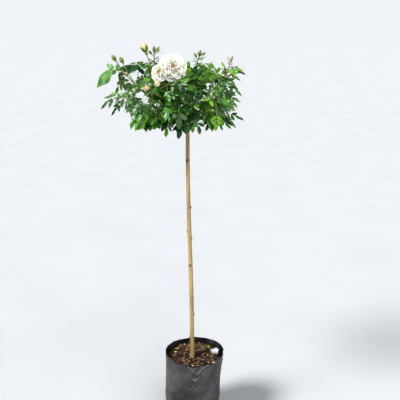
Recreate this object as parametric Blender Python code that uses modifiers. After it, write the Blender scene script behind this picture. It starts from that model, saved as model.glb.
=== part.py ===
"""Potted standard rose: a soft grower's bag of soil, one bare stem, and a head of canes,
twigs, leaves, buds and flowers on top of it.

Metres, +Z up. The origin is the centre of the bag's flat underside, and -Y is the front.
"""

import math
import random
from collections import namedtuple

import bmesh
import bpy
from mathutils import Matrix, Vector
from mathutils.bvhtree import BVHTree

UP = Vector((0.0, 0.0, 1.0))
FRONT = Vector((0.0, -1.0, 0.0))
GAP = 0.0003            # clearance between pieces that touch
WELD = 0.000001         # vertices this near become one

# Grower's bag
BAG_HEIGHT = 0.287
BAG_BASE_RADIUS = 0.098
BAG_BODY_RADIUS = 0.1035
BAG_MOUTH_RADIUS = 0.1105
BAG_WALL = 0.0016
BAG_CORNER = 0.006      # height of the rounded lower edge
BAG_LEAN = 0.013        # how far the mouth stands to +X of the underside
BAG_ROUND_STEPS = 32
RIM_WAVE = 0.0025       # the soft rim rises and dips this much

BAG_BULGE = 0.0012
BAG_BULGES = 3

# Soil
SOIL_TOP = 0.262
SOIL_LEVEL_RADIUS = 0.026   # level patch that the stem stands on
SOIL_BUMP = 0.004
SOIL_BUMP_RADII = (0.048, 0.078)
SOIL_SEED = 71
# The bag's outer side from its lower corner to the soil: height and radius.
BAG_RINGS = (
    (BAG_CORNER, BAG_BODY_RADIUS - 0.0008),
    (0.100, BAG_BODY_RADIUS + 0.0005),
    (0.200, BAG_BODY_RADIUS + 0.0020),
    (SOIL_TOP, BAG_MOUTH_RADIUS - 0.0015),
)

# Stem, from the soil to the graft union
STEM_FOOT = Vector((0.003, -0.004, SOIL_TOP + GAP))
UNION = Vector((-0.010, 0.0, 1.150))
STEM_FOOT_RADIUS = 0.0080
STEM_TOP_RADIUS = 0.0066
FLARE_RADIUS = 0.0065       # added to the stem's radius at the soil
FLARE_HEIGHT = 0.030
STEM_SWAY = 0.0020
STEM_STEPS = 14
STEM_FLARE_STEPS = (0.0, 0.008, 0.018, 0.032)   # fractions of its length, through the flare
STEM_SCAR_HEIGHTS = (0.348, 0.444, 0.530, 0.640, 0.742, 0.769, 0.859, 0.937, 1.030)
SCAR_RADIUS = 0.0042
SCAR_LENGTH = 0.0085
UNION_RADIUS = 0.0120
UNION_HALF_HEIGHT = 0.020

# Canes
CANE_RADIUS = 0.0042
CANE_TIP_RADIUS = 0.0030
COLLAR_RADIUS = 0.0050
COLLAR_REACH = 0.0175       # from the cane's seat to the collar's end face
CANE_STEPS = 6
STRAIGHT = 0.005            # a limb's first stretch, square to the face that it meets
CANE_LIFT = 12.0            # degrees that a cane leaves the union steeper than it ends
CANE_STEEPEST = 84.0
SEAT_SPREAD = 0.0004        # each degree steeper, a cane is set this much higher on the union
SEAT_OFFSET = 0.0065        # how far out from the union's axis it is set

# Twigs
STEM_TWIG_RADIUS = 0.0028
BRANCH_SLENDER = 0.80       # a branch's radius at its foot, of the radius of a mass's stem
SPRAY_SLENDER = 0.72        # and a side twig's
TWIG_TIP_RADIUS = 0.0017
TWIG_STEPS = 4
INTERNODE = 0.022
GOLDEN_TURN = math.radians(137.5)
SPRAYS_FROM, SPRAYS_TO = 0.04, 0.74     # the stretch of a stem that bears side twigs
SPRAY_REACH = (0.55, 0.80)              # a side twig's length, of its mass's room
SPRAY_AHEAD, SPRAY_RISE = 0.55, 0.15    # how far it leans along the stem, and up
SPRAY_SHORTER = 0.06                    # taken off its length at each further try

# Leaves
STALK_RADIUS = 0.0014
STALK_TAPER = 0.75
STALK_SHARE = 0.45          # of its end leaflet's length, from the twig to its first leaflets
END_STALK_SHARE = 0.24      # and from them to its end leaflet
SIDE_SHARE = 0.86           # a side leaflet's length, of the end leaflet's
SIDE_AHEAD, SIDE_HANG = 0.50, 0.10      # how far side leaflets lean ahead, and hang
END_HANG = 0.12
END_SINK = 0.002
BLADE_WIDTH = 0.70          # of its length
BLADE_THICKNESS = 0.022     # of its length
BLADE_WAIST = 0.43          # where along its length a leaflet is widest
BLADE_FOLD = 0.16
BLADE_CURL = 0.10
ROOT_SPLIT = 0.00015        # keeps the roots of a pair of leaflets apart
LEAF_SIZES = (0.86, 1.12)   # of its mass's leaf length
LEAF_AHEAD, LEAF_OUT = 0.35, 0.80       # how far a leaf leans along its twig, and off it
LEAF_HANGS = (0.5, 1.1)     # of the droop at its height
LEAF_TILTS = (-0.3, 0.3)
FACE_UP, FACE_OUT, FACE_FRONT = 0.60, 0.50, 0.45    # where a leaf's upper side looks
FACE_AHEAD = 0.05           # how far along a leaf its upper side's direction is taken
RETRY_TURN = 0.9            # from one direction that a leaf tries to the next, in radians
CLEARANCE = 0.0008          # from any other piece, while the crown is laid out
SPACE_SLACK = 0.014         # how far a leaf may reach past the plane between two masses
CROWN_TOP = 1.366           # seeded twigs and leaves stay between these heights
CROWN_FOOT = 1.142
TRIES = 10

# Flowers and buds. A flower from its back to the middle of its face, in shares of its
# radius: out from its axis, along its axis, and how deep its petals scallop it there.
FLOWER_PROFILE = (
    (0.00, -0.06, 0.00), (0.30, 0.03, 0.00), (0.80, 0.16, 0.06), (1.00, 0.36, 0.10),
    (0.90, 0.46, 0.10), (0.68, 0.40, 0.05), (0.56, 0.58, 0.08), (0.30, 0.64, 0.10),
    (0.00, 0.58, 0.00),
)
FLOWER_PETALS = 5
# Turn and rise of the way it looks, and radius.
FLOWERS = {"bloom": (276, 24, 0.045), "half_bloom": (250, 20, 0.031)}
# What leans it from its twig's direction, radius and length.
UPRIGHT = Vector()
BUDS = {
    "spear": (UPRIGHT, 0.0030, 0.020),
    "small_bud": (UPRIGHT, 0.0050, 0.018),
    "green_bud": (UPRIGHT, 0.0062, 0.021),
    "peach_bud": (UPRIGHT, 0.0105, 0.034),
    "opening_bud": (Vector((-0.17, -0.97, 0.17)), 0.0095, 0.020),
    "hanging_bud": (Vector((-0.06, -0.64, 0.77)), 0.0082, 0.023),
    "cluster": (UPRIGHT, 0.0050, 0.019),
}
CLUSTER_BUD = (0.0038, 0.014)       # radius and length of the two side buds of a cluster
CLUSTER_STALK = 0.014
CLUSTER_STALK_RADII = (0.0013, 0.0011)
CLUSTER_LEAN = 0.9
CLUSTER_LOW, CLUSTER_STAGGER = 0.012, 0.006     # how far below its tip they leave the twig
BUD_SEAT = 0.42             # a bud's middle stands this share of its length off its point
# The last stretch of a twig, without leaves, by what it ends in.
BARE_END = {
    "tip": 0.0, "spear": 0.015, "small_bud": 0.022, "green_bud": 0.100, "cluster": 0.030,
    "peach_bud": 0.052, "opening_bud": 0.030, "hanging_bud": 0.030,
    "bloom": 0.035, "half_bloom": 0.032,
}

# Each cane's tip and each leader's tip are seen from the union: turn about +Z from +X and
# rise above level, in degrees, and reach in metres. Room is how far leaves stand off the
# mass's stem, sprays its number of seeded side twigs, and leaf its end leaflets' length.
Mass = namedtuple("Mass", "name cane leader end sprays leaf room seed")
MASSES = (
    Mass("bloom", (238, 50, 0.060), (244, 63, 0.220), "bloom", 5, 0.048, 0.115, 3),
    Mass("front_left", (215, 30, 0.066), (214, 28, 0.180), "tip", 5, 0.050, 0.110, 5),
    Mass("front_low", (268, 34, 0.056), (262, 32, 0.125), "tip", 5, 0.050, 0.110, 7),
    Mass("front_right", (306, 36, 0.066), (306, 50, 0.205), "small_bud", 5, 0.048, 0.115, 11),
    Mass("left_long", (188, 39, 0.150), (187, 43, 0.325), "green_bud", 3, 0.050, 0.120, 13),
    Mass("left_low", (190, 21, 0.100), (194, 27, 0.250), "tip", 3, 0.050, 0.100, 17),
    Mass("top_left", (172, 58, 0.085), (180, 61, 0.285), "peach_bud", 4, 0.050, 0.115, 19),
    Mass("top_right", (50, 80, 0.080), (27, 79, 0.240), "cluster", 5, 0.046, 0.110, 23),
    Mass("right_long", (0, 50, 0.080), (0, 56, 0.262), "spear", 4, 0.046, 0.110, 29),
    Mass("right_low", (346, 30, 0.064), (352, 27, 0.165), "tip", 4, 0.046, 0.110, 31),
    Mass("back_left", (137, 38, 0.070), (142, 37, 0.215), "tip", 4, 0.050, 0.110, 37),
    Mass("back", (82, 46, 0.070), (86, 48, 0.205), "small_bud", 4, 0.050, 0.110, 41),
    Mass("back_right", (36, 34, 0.068), (36, 38, 0.195), "tip", 4, 0.048, 0.095, 43),
)

# Further twigs that carry a flower or bud: where on the stem they leave it, their tip seen
# from the union, and what they end in.
Branch = namedtuple("Branch", "mass leaves_at tip end")
BRANCHES = (
    Branch("bloom", 0.30, (231, 55, 0.221), "half_bloom"),
    Branch("bloom", 0.18, (234, 44, 0.213), "opening_bud"),
    Branch("bloom", 0.10, (224, 38, 0.213), "hanging_bud"),
    Branch("left_long", 0.55, (185, 45, 0.303), "green_bud"),
    Branch("top_left", 0.62, (176, 66, 0.272), "cluster"),
    Branch("right_long", 0.62, (357, 50, 0.240), "tip"),
)

# Leaves that give the crown its furthest reach: the mass that carries each, where on its
# stem, its direction, its end leaflet's length and how far that hangs, and how many pairs of
# side leaflets it has.
Leaf = namedtuple("Leaf", "mass at turn rise size hang pairs")
REACHING_LEAVES = (
    Leaf("left_long", 0.82, 183, 7, 0.080, 0.95, 0),
    Leaf("top_left", 0.80, 186, 4, 0.080, 0.05, 0),
    Leaf("left_long", 0.42, 194, -2, 0.050, 0.50, 1),
    Leaf("left_low", 0.94, 188, -16, 0.054, 0.42, 1),
    Leaf("left_low", 0.40, 204, -42, 0.046, 0.35, 1),
    Leaf("right_long", 0.86, 352, 20, 0.033, 0.85, 1),
    Leaf("right_long", 0.60, 352, -12, 0.040, 0.40, 1),
    Leaf("right_low", 0.68, 354, 8, 0.036, 0.50, 1),
    Leaf("right_low", 0.44, 342, -44, 0.044, 0.40, 1),
    Leaf("front_right", 0.12, 300, -70, 0.038, 0.20, 1),
    Leaf("front_low", 0.55, 214, -66, 0.050, 0.30, 1),
    Leaf("front_left", 0.30, 222, -68, 0.044, 0.30, 1),
)

COLORS = {
    "bag": (0.018, 0.018, 0.020),
    "soil": (0.045, 0.030, 0.022),
    "stem": (0.42, 0.30, 0.17),
    "cane": (0.20, 0.22, 0.07),
    "leaf": (0.07, 0.17, 0.045),
}


def polar(turn, rise, reach=1.0):
    """A vector from its turn about +Z and its rise above level, in degrees."""
    across = math.cos(math.radians(rise)) * reach
    return Vector((
        across * math.cos(math.radians(turn)),
        across * math.sin(math.radians(turn)),
        math.sin(math.radians(rise)) * reach,
    ))


def sweep(start, heading, end, steps):
    """Points of an arc that leaves start along heading, straight at first, and comes to end."""
    points = [start]
    start = start + heading * STRAIGHT
    middle = start + heading * (end - start).length * 0.45
    for step in range(steps):
        t = step / (steps - 1)
        points.append(start * (1 - t) ** 2 + middle * (2 * t * (1 - t)) + end * t ** 2)
    return points


def along(points, t):
    """The place and direction at a fraction of a run of points."""
    place = min(max(t, 0.0), 0.9999) * (len(points) - 1)
    index = int(place)
    start, end = points[index], points[index + 1]
    return start.lerp(end, place - index), (end - start).normalized()


# ---------------------------------------------------------------- plain solids as verts, faces

def loft(points, radii, sides, top=None):
    """A tapering stick through the points, with flat ends and a corner towards top."""
    verts, faces = [], []
    heading = (points[1] - points[0]).normalized()
    side = top or (UP if abs(heading.z) < 0.9 else Vector((1, 0, 0)))
    for index, point in enumerate(points):
        before = points[max(index - 1, 0)]
        after = points[min(index + 1, len(points) - 1)]
        heading = (after - before).normalized()
        side = (side - heading * side.dot(heading)).normalized()
        other = heading.cross(side)
        for step in range(sides):
            angle = 2 * math.pi * step / sides
            verts.append(point + (side * math.cos(angle) + other * math.sin(angle)) * radii[index])
    for index in range(len(points) - 1):
        for step in range(sides):
            a, b = index * sides + step, index * sides + (step + 1) % sides
            faces.append((a, b, b + sides, a + sides))
    last = (len(points) - 1) * sides
    faces.append(tuple(range(sides))[::-1])
    faces.append(tuple(range(last, last + sides)))
    return verts, faces


def blade(root, axis, face, length, width, grow=0.0):
    """A folded leaflet of eight faces."""
    side = axis.cross(face).normalized()
    face = side.cross(axis).normalized()
    half = width / 2 + grow
    thick = length * BLADE_THICKNESS / 2 + grow
    waist = root + axis * (length * BLADE_WAIST)
    lifted = face * (width / 2 * BLADE_FOLD)
    verts = [
        root,
        waist - side * half + lifted,
        root + axis * (length + grow) - face * (length * BLADE_CURL),
        waist + side * half + lifted,
        waist + face * thick,
        waist - face * thick,
    ]
    faces = [(1, 0, 4), (2, 1, 4), (3, 2, 4), (0, 3, 4), (0, 1, 5), (1, 2, 5), (2, 3, 5), (3, 0, 5)]
    return verts, faces


def ball(centre, axis, radius, length, segments, rings):
    """A round or egg-shaped body along an axis."""
    mesh = bmesh.new()
    bmesh.ops.create_uvsphere(mesh, u_segments=segments, v_segments=rings, radius=1.0)
    turn = axis.to_track_quat("Z", "Y").to_matrix().to_4x4()
    size = Matrix.Diagonal((radius, radius, length / 2, 1.0))
    bmesh.ops.transform(mesh, matrix=Matrix.Translation(centre) @ turn @ size, verts=mesh.verts)
    verts = [vert.co.copy() for vert in mesh.verts]
    faces = [tuple(vert.index for vert in face.verts) for face in mesh.faces]
    mesh.free()
    return verts, faces


def gather(shapes):
    """Several shapes in one list of verts and faces."""
    verts, faces = [], []
    for shape_verts, shape_faces in shapes:
        start = len(verts)
        verts.extend(shape_verts)
        faces.extend(tuple(start + index for index in face) for face in shape_faces)
    return verts, faces


# ---------------------------------------------------------------- the crown's layout

class Guard:
    """Keeps every shape laid out so far, and says whether a new one would touch any."""

    def __init__(self):
        self.placed = []

    @staticmethod
    def reach(verts):
        middle = sum(verts, Vector()) / len(verts)
        return middle, max((vert - middle).length for vert in verts)

    def add(self, owner, shape):
        middle, radius = self.reach(shape[0])
        self.placed.append((owner, middle, radius, BVHTree.FromPolygons(*shape)))

    def blocked(self, shape, but=()):
        middle, radius = self.reach(shape[0])
        tree = None
        for owner, other_middle, other_radius, other_tree in self.placed:
            if owner in but or (middle - other_middle).length > radius + other_radius:
                continue
            tree = tree or BVHTree.FromPolygons(*shape)
            if tree.overlap(other_tree):
                return True
        return False


class Space:
    """The part of the crown that one mass keeps to: nearer to its own middle than to that
    of any other mass, and within its room of its own stem."""

    def __init__(self, mass, start, end, middles):
        self.start, self.end, self.room = start, end, mass.room
        self.middle = middles[mass.name]
        self.others = [middle for name, middle in middles.items() if name != mass.name]

    def holds(self, verts):
        run = self.end - self.start
        for vert in verts:
            if not CROWN_FOOT < vert.z < CROWN_TOP:
                return False
            t = min(max((vert - self.start).dot(run) / run.length_squared, 0.0), 1.0)
            if (vert - self.start - run * t).length > self.room:
                return False
            for other in self.others:
                across = (other - self.middle).normalized()
                if (vert - (self.middle + other) / 2).dot(across) > SPACE_SLACK:
                    return False
        return True


class Twig:
    """One shoot of a mass: its run of points, its radii, and what it ends in."""

    def __init__(self, name, points, start_radius, end):
        self.name, self.points, self.end = name, points, end
        self.length = sum((b - a).length for a, b in zip(points, points[1:]))
        last = len(points) - 1
        self.radii = [
            start_radius + (TWIG_TIP_RADIUS - start_radius) * index / last
            for index in range(last + 1)
        ]

    def shape(self, grow=0.0):
        return loft(self.points, [radius + grow for radius in self.radii], 3)


def bud(point, axis, radius, length):
    return ball(point + axis * (length * BUD_SEAT), axis, radius, length, 6, 5)


def flower(point, axis, radius):
    """A double flower: a scalloped rim of outer petals round a raised heart."""
    mesh = bmesh.new()
    tiers = len(FLOWER_PROFILE) - 1
    bmesh.ops.create_uvsphere(mesh, u_segments=15, v_segments=tiers, radius=1.0)
    for vert in mesh.verts:
        tier = round(math.acos(max(min(-vert.co.z, 1.0), -1.0)) / math.pi * tiers)
        out, height, scallop = FLOWER_PROFILE[tier]
        turn = math.atan2(vert.co.y, vert.co.x)
        out *= 1 + scallop * math.cos(FLOWER_PETALS * turn)
        height += scallop * 0.5 * math.cos(FLOWER_PETALS * turn + 1.0)
        vert.co = Vector((out * math.cos(turn), out * math.sin(turn), height)) * radius
    turned_to = axis.to_track_quat("Z", "Y").to_matrix().to_4x4()
    bmesh.ops.transform(mesh, matrix=Matrix.Translation(point) @ turned_to, verts=mesh.verts)
    verts = [vert.co.copy() for vert in mesh.verts]
    faces = [tuple(vert.index for vert in face.verts) for face in mesh.faces]
    mesh.free()
    return verts, faces


def cluster_stalks(point, axis):
    """The stalks of a cluster's two side buds, each from its foot to its tip."""
    spread = FRONT.cross(axis).normalized()
    stalks = []
    for hand in (-1, 1):
        lean = (axis + spread * (CLUSTER_LEAN * hand)).normalized()
        low = point - axis * (CLUSTER_LOW + CLUSTER_STAGGER * hand)
        stalks.append((low, low + lean * CLUSTER_STALK, lean))
    return stalks


def ending(twig):
    """The solids of a twig's flower, bud or buds."""
    if twig.end == "tip":
        return []
    point, axis = along(twig.points, 1.0)
    if twig.end in FLOWERS:
        turn, rise, radius = FLOWERS[twig.end]
        return [flower(point, polar(turn, rise), radius)]
    lean, radius, length = BUDS[twig.end]
    shapes = [bud(point, (axis + lean).normalized(), radius, length)]
    if twig.end == "cluster":
        for low, tip, lean in cluster_stalks(point, axis):
            shapes += [loft([low, tip], CLUSTER_STALK_RADII, 3), bud(tip, lean, *CLUSTER_BUD)]
    return shapes


LeafPlan = namedtuple("LeafPlan", "stalk blades")
BladePlan = namedtuple("BladePlan", "root axis face length")


def leaf_plan(base, heading, face, size, pairs, hang=END_HANG):
    """The stalk and the leaflets of one leaf: an end leaflet, with or without a pair."""
    side = heading.cross(face).normalized()
    face = side.cross(heading).normalized()
    end = base + heading * (size * STALK_SHARE)
    blades = []
    for hand in (-1, 1) if pairs else ():
        axis = (heading * SIDE_AHEAD + side * hand - UP * SIDE_HANG).normalized()
        blades.append(BladePlan(end + side * (hand * ROOT_SPLIT), axis, face, size * SIDE_SHARE))
    if pairs:
        end = end + heading * (size * END_STALK_SHARE)
    tip_axis = (heading - UP * hang).normalized()
    blades.append(BladePlan(end - heading * END_SINK, tip_axis, face, size))
    return LeafPlan((base, end), blades)


def stalk_shape(plan, grow=0.0):
    radii = (STALK_RADIUS + grow, STALK_RADIUS * STALK_TAPER + grow)
    return loft(plan.stalk, radii, 3, plan.blades[0].face)


def blade_shape(plan, grow=0.0):
    return blade(plan.root, plan.axis, plan.face, plan.length, plan.length * BLADE_WIDTH, grow)


def fitting_leaf(plan, space, guard, carrier):
    """The leaf without the leaflets that leave the space or touch something."""
    stalk = stalk_shape(plan, CLEARANCE)
    if guard.blocked(stalk, (carrier,)) or not space.holds(stalk[0]):
        return None
    kept = []
    for leaflet in plan.blades:
        shape = blade_shape(leaflet, CLEARANCE)
        if space.holds(shape[0]) and not guard.blocked(shape):
            kept.append(leaflet)
    return LeafPlan(plan.stalk, kept)


def place_leaf(leaf, guard):
    guard.add("stalk", stalk_shape(leaf))
    for leaflet in leaf.blades:
        guard.add("blade", blade_shape(leaflet))


def leaf_face(point, tilt=0.0):
    """The way a leaf's upper side looks: up, outward from the stem, and to the front."""
    outward = Vector((point.x - UNION.x, point.y - UNION.y, 0.0)).normalized()
    return (UP * (FACE_UP - tilt) + outward * (FACE_OUT + tilt) + FRONT * FACE_FRONT).normalized()


def droop(point):
    """How far a leaf hangs: little on top of the crown, and more the lower it grows."""
    return min(max((CROWN_TOP - point.z) / (CROWN_TOP - UNION.z), 0.0), 1.0)


def leafy_nodes(twig):
    """Fractions along a twig where leaves stand."""
    usable = twig.length - BARE_END[twig.end]
    count = max(int(usable / INTERNODE), 1)
    return [(index + 0.75) / (count + 0.25) * usable / twig.length for index in range(count)]


def square_to(heading):
    """Two directions square to a heading and to each other."""
    side = heading.cross(UP if abs(heading.z) < 0.9 else Vector((1, 0, 0))).normalized()
    return side, heading.cross(side)


def grow_leaves(twig, mass, space, guard, draw):
    """Leaves up one twig, each a golden turn on from the last. Each takes the direction, out
    of a few, in which most of its leaflets fit."""
    leaves = []
    turn = draw.uniform(0, 2 * math.pi)
    for node in leafy_nodes(twig):
        point, heading = along(twig.points, node)
        turn += GOLDEN_TURN
        size = mass.leaf * draw.uniform(*LEAF_SIZES)
        side, other = square_to(heading)
        best = None
        for attempt in range(TRIES):
            angle = turn + attempt * RETRY_TURN
            away = side * math.cos(angle) + other * math.sin(angle)
            hang = droop(point) * draw.uniform(*LEAF_HANGS)
            aim = (heading * LEAF_AHEAD + away * LEAF_OUT - UP * hang).normalized()
            face = leaf_face(point + aim * FACE_AHEAD, draw.uniform(*LEAF_TILTS))
            fitted = fitting_leaf(leaf_plan(point, aim, face, size, 1), space, guard, twig.name)
            if fitted and (best is None or len(fitted.blades) > len(best.blades)):
                best = fitted
            if best and len(best.blades) == 3:
                break
        if best and len(best.blades) > 1:
            place_leaf(best, guard)
            leaves.append(best)
    return leaves


def grow_sprays(stem, mass, space, guard, draw):
    """Seeded side twigs of one stem."""
    twigs = []
    turn = draw.uniform(0, 2 * math.pi)
    for number in range(mass.sprays):
        node = SPRAYS_FROM + (SPRAYS_TO - SPRAYS_FROM) * number / (mass.sprays - 1)
        point, heading = along(stem.points, node)
        side, other = square_to(heading)
        length = mass.room * draw.uniform(*SPRAY_REACH)
        for attempt in range(TRIES):
            turn += GOLDEN_TURN
            away = side * math.cos(turn) + other * math.sin(turn)
            aim = (heading * SPRAY_AHEAD + away + UP * SPRAY_RISE).normalized()
            tip = point + aim * (length * (1 - SPRAY_SHORTER * attempt))
            points = sweep(point, (heading + aim).normalized(), tip, TWIG_STEPS)
            twig = Twig(f"{stem.name}_{number}", points, STEM_TWIG_RADIUS * SPRAY_SLENDER, "tip")
            grown = twig.shape(CLEARANCE)
            if space.holds(grown[0]) and not guard.blocked(grown, (stem.name,)):
                guard.add(twig.name, twig.shape())
                twigs.append(twig)
                break
    return twigs


def collar(mass):
    """Where on the union a cane is set, the steeper ones higher up, and its heading."""
    turn, rise, _ = mass.cane
    seat = UNION + UP * (SEAT_SPREAD * (rise - 45)) + polar(turn, 0, SEAT_OFFSET)
    return seat, polar(turn, min(rise + CANE_LIFT, CANE_STEEPEST))


def cane_path(mass):
    """A cane from its collar on the union to the start of its mass."""
    seat, heading = collar(mass)
    start = seat + heading * (COLLAR_REACH + GAP)
    return sweep(start, heading, UNION + polar(*mass.cane), CANE_STEPS)


def lay_out_crown():
    """Every twig, leaf and flower of every mass, with nothing touching."""
    guard = Guard()
    middles, stems, canes = {}, {}, {}
    guard.add("union", ball(UNION, UP, UNION_RADIUS, UNION_HALF_HEIGHT * 2, 12, 8))
    guard.add("trunk", loft([STEM_FOOT, UNION], [STEM_FOOT_RADIUS, STEM_TOP_RADIUS], 8))
    for mass in MASSES:
        canes[mass.name] = cane_path(mass)
        guard.add("cane", loft(canes[mass.name], [CANE_RADIUS] * (CANE_STEPS + 1), 8))
        tip, heading = along(canes[mass.name], 1.0)
        start = tip + heading * GAP
        end = UNION + polar(*mass.leader)
        stems[mass.name] = Twig(
            mass.name, sweep(start, heading, end, TWIG_STEPS), STEM_TWIG_RADIUS, mass.end)
        middles[mass.name] = (start + end * 2) / 3
    crown = {}
    for mass in MASSES:
        stem = stems[mass.name]
        twigs = [stem]
        for number, branch in enumerate(row for row in BRANCHES if row.mass == mass.name):
            point, heading = along(stem.points, branch.leaves_at)
            tip = UNION + polar(*branch.tip)
            aim = ((tip - point).normalized() + heading).normalized()
            twigs.append(Twig(
                f"{mass.name}_branch_{number}", sweep(point, aim, tip, TWIG_STEPS),
                STEM_TWIG_RADIUS * BRANCH_SLENDER, branch.end))
        for twig in twigs:
            guard.add(twig.name, twig.shape())
            for shape in ending(twig):
                guard.add(twig.name + "_end", shape)
        crown[mass.name] = {"twigs": twigs, "leaves": []}
    spaces = {
        mass.name: Space(mass, stems[mass.name].points[0], stems[mass.name].points[-1], middles)
        for mass in MASSES
    }
    for leaf in REACHING_LEAVES:
        stem = stems[leaf.mass]
        point = along(stem.points, leaf.at)[0]
        aim = polar(leaf.turn, leaf.rise)
        face = leaf_face(point + aim * FACE_AHEAD)
        plan = leaf_plan(point, aim, face, leaf.size, leaf.pairs, leaf.hang)
        place_leaf(plan, guard)
        crown[leaf.mass]["leaves"].append(plan)
    for mass in MASSES:
        draw = random.Random(mass.seed)
        parts = crown[mass.name]
        space = spaces[mass.name]
        parts["twigs"] += grow_sprays(stems[mass.name], mass, space, guard, draw)
        for twig in parts["twigs"]:
            parts["leaves"] += grow_leaves(twig, mass, space, guard, draw)
    return canes, crown


# ---------------------------------------------------------------- objects

def clear_scene():
    for thing in list(bpy.data.objects):
        bpy.data.objects.remove(thing, do_unlink=True)


def new_collection(name):
    collection = bpy.data.collections.new(name)
    bpy.context.scene.collection.children.link(collection)
    return collection


def paint(name, color, roughness):
    material = bpy.data.materials.new(name)
    material.use_nodes = True
    shader = material.node_tree.nodes["Principled BSDF"]
    shader.inputs["Base Color"].default_value = (*color, 1.0)
    shader.inputs["Roughness"].default_value = roughness
    shader.inputs["Metallic"].default_value = 0.0
    material.diffuse_color = (*color, 1.0)
    return material


def solid(name, shape, collection):
    """A mesh object of one or more closed shapes, with its faces turned out."""
    mesh = bpy.data.meshes.new(name)
    mesh.from_pydata([tuple(vert) for vert in shape[0]], [], shape[1])
    work = bmesh.new()
    work.from_mesh(mesh)
    bmesh.ops.recalc_face_normals(work, faces=work.faces)
    work.to_mesh(mesh)
    work.free()
    thing = bpy.data.objects.new(name, mesh)
    collection.objects.link(thing)
    return thing


def evaluated_mesh(thing):
    graph = bpy.context.evaluated_depsgraph_get()
    graph.update()
    return bpy.data.meshes.new_from_object(thing.evaluated_get(graph))


def is_closed(mesh):
    work = bmesh.new()
    work.from_mesh(mesh)
    closed = all(len(edge.link_faces) == 2 for edge in work.edges)
    work.free()
    return closed


def largest_body(mesh):
    """Drops any loose scrap and any sealed hollow, so one closed body is left."""
    work = bmesh.new()
    work.from_mesh(mesh)
    bmesh.ops.triangulate(work, faces=work.faces)
    seen, bodies = set(), []
    for vert in work.verts:
        if vert in seen:
            continue
        body, front = {vert}, [vert]
        while front:
            for edge in front.pop().link_edges:
                for other in edge.verts:
                    if other not in body:
                        body.add(other)
                        front.append(other)
        seen |= body
        bodies.append(body)
    keep = max(bodies, key=len)
    bmesh.ops.delete(work, geom=[vert for vert in work.verts if vert not in keep], context="VERTS")
    work.to_mesh(mesh)
    work.free()


def fuse(thing, shapes):
    """Joins the shapes to an object by one Boolean union on a collection."""
    growth = new_collection(thing.name + "_growth")
    for number, shape in enumerate(shapes):
        solid(f"{thing.name}_{number}", shape, growth)
    union = thing.modifiers.new("Grown on", "BOOLEAN")
    union.operation = "UNION"
    union.operand_type = "COLLECTION"
    union.collection = growth
    for solver in ("EXACT", "MANIFOLD"):
        union.solver = solver
        mesh = evaluated_mesh(thing)
        largest_body(mesh)
        if is_closed(mesh):
            break
    thing.modifiers.clear()
    thing.data = mesh
    for shape in list(growth.objects):
        bpy.data.objects.remove(shape, do_unlink=True)
    bpy.data.collections.remove(growth)


def finish(thing, material, smooth_degrees=None):
    thing.data.materials.clear()
    thing.data.materials.append(material)
    if smooth_degrees:
        thing.data.shade_smooth()
        thing.data.set_sharp_from_angle(angle=math.radians(smooth_degrees))
    return thing


# ---------------------------------------------------------------- bag and soil

def bag_offset(height, turn):
    """How the soft bag leans and bulges away from a round one, at a height and a turn."""
    rise = height / BAG_HEIGHT
    bulge = BAG_BULGE * math.sin(BAG_BULGES * turn + 0.7) * math.sin(math.pi * min(rise, 1.0))
    return BAG_LEAN * rise ** 2, bulge


def slump(vert):
    """Moves a vertex of a round bag to where the soft one has it."""
    turn = math.atan2(vert.y, vert.x)
    radius = math.hypot(vert.x, vert.y)
    lean, bulge = bag_offset(vert.z, turn)
    if radius > BAG_BODY_RADIUS / 2:
        radius += bulge
    return Vector((radius * math.cos(turn) + lean, radius * math.sin(turn), vert.z))


def turned(name, profile, collection):
    """A solid turned about Z from a profile that ends on the axis at both ends."""
    mesh = bpy.data.meshes.new(name)
    edges = [(index, index + 1) for index in range(len(profile) - 1)]
    mesh.from_pydata([(radius, 0.0, height) for radius, height in profile], edges, [])
    thing = bpy.data.objects.new(name, mesh)
    collection.objects.link(thing)
    screw = thing.modifiers.new("Turned", "SCREW")
    screw.steps = screw.render_steps = BAG_ROUND_STEPS
    screw.use_merge_vertices = True
    screw.merge_threshold = 0.00001
    turned_mesh = evaluated_mesh(thing)
    thing.modifiers.clear()
    thing.data = turned_mesh
    return thing


def make_bag(collection):
    floor = BAG_WALL
    profile = [(0.0, floor), (BAG_BASE_RADIUS - BAG_WALL, floor)]
    profile += [(radius - BAG_WALL, height) for height, radius in BAG_RINGS]
    profile += [(BAG_MOUTH_RADIUS - BAG_WALL, BAG_HEIGHT), (BAG_MOUTH_RADIUS, BAG_HEIGHT)]
    profile += [(radius, height) for height, radius in reversed(BAG_RINGS)]
    profile += [(BAG_BASE_RADIUS, 0.0), (0.0, 0.0)]
    bag = turned("planter_bag", profile, collection)
    for vert in bag.data.vertices:
        place = slump(vert.co)
        if vert.co.z > BAG_HEIGHT - 0.001:
            turn = math.atan2(vert.co.y, vert.co.x)
            place.z += RIM_WAVE * (math.sin(2 * turn + 1.0) + 0.4 * math.sin(5 * turn)) - RIM_WAVE
        vert.co = place
    return finish(bag, paint("bag_film", COLORS["bag"], 0.45), 50)


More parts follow.
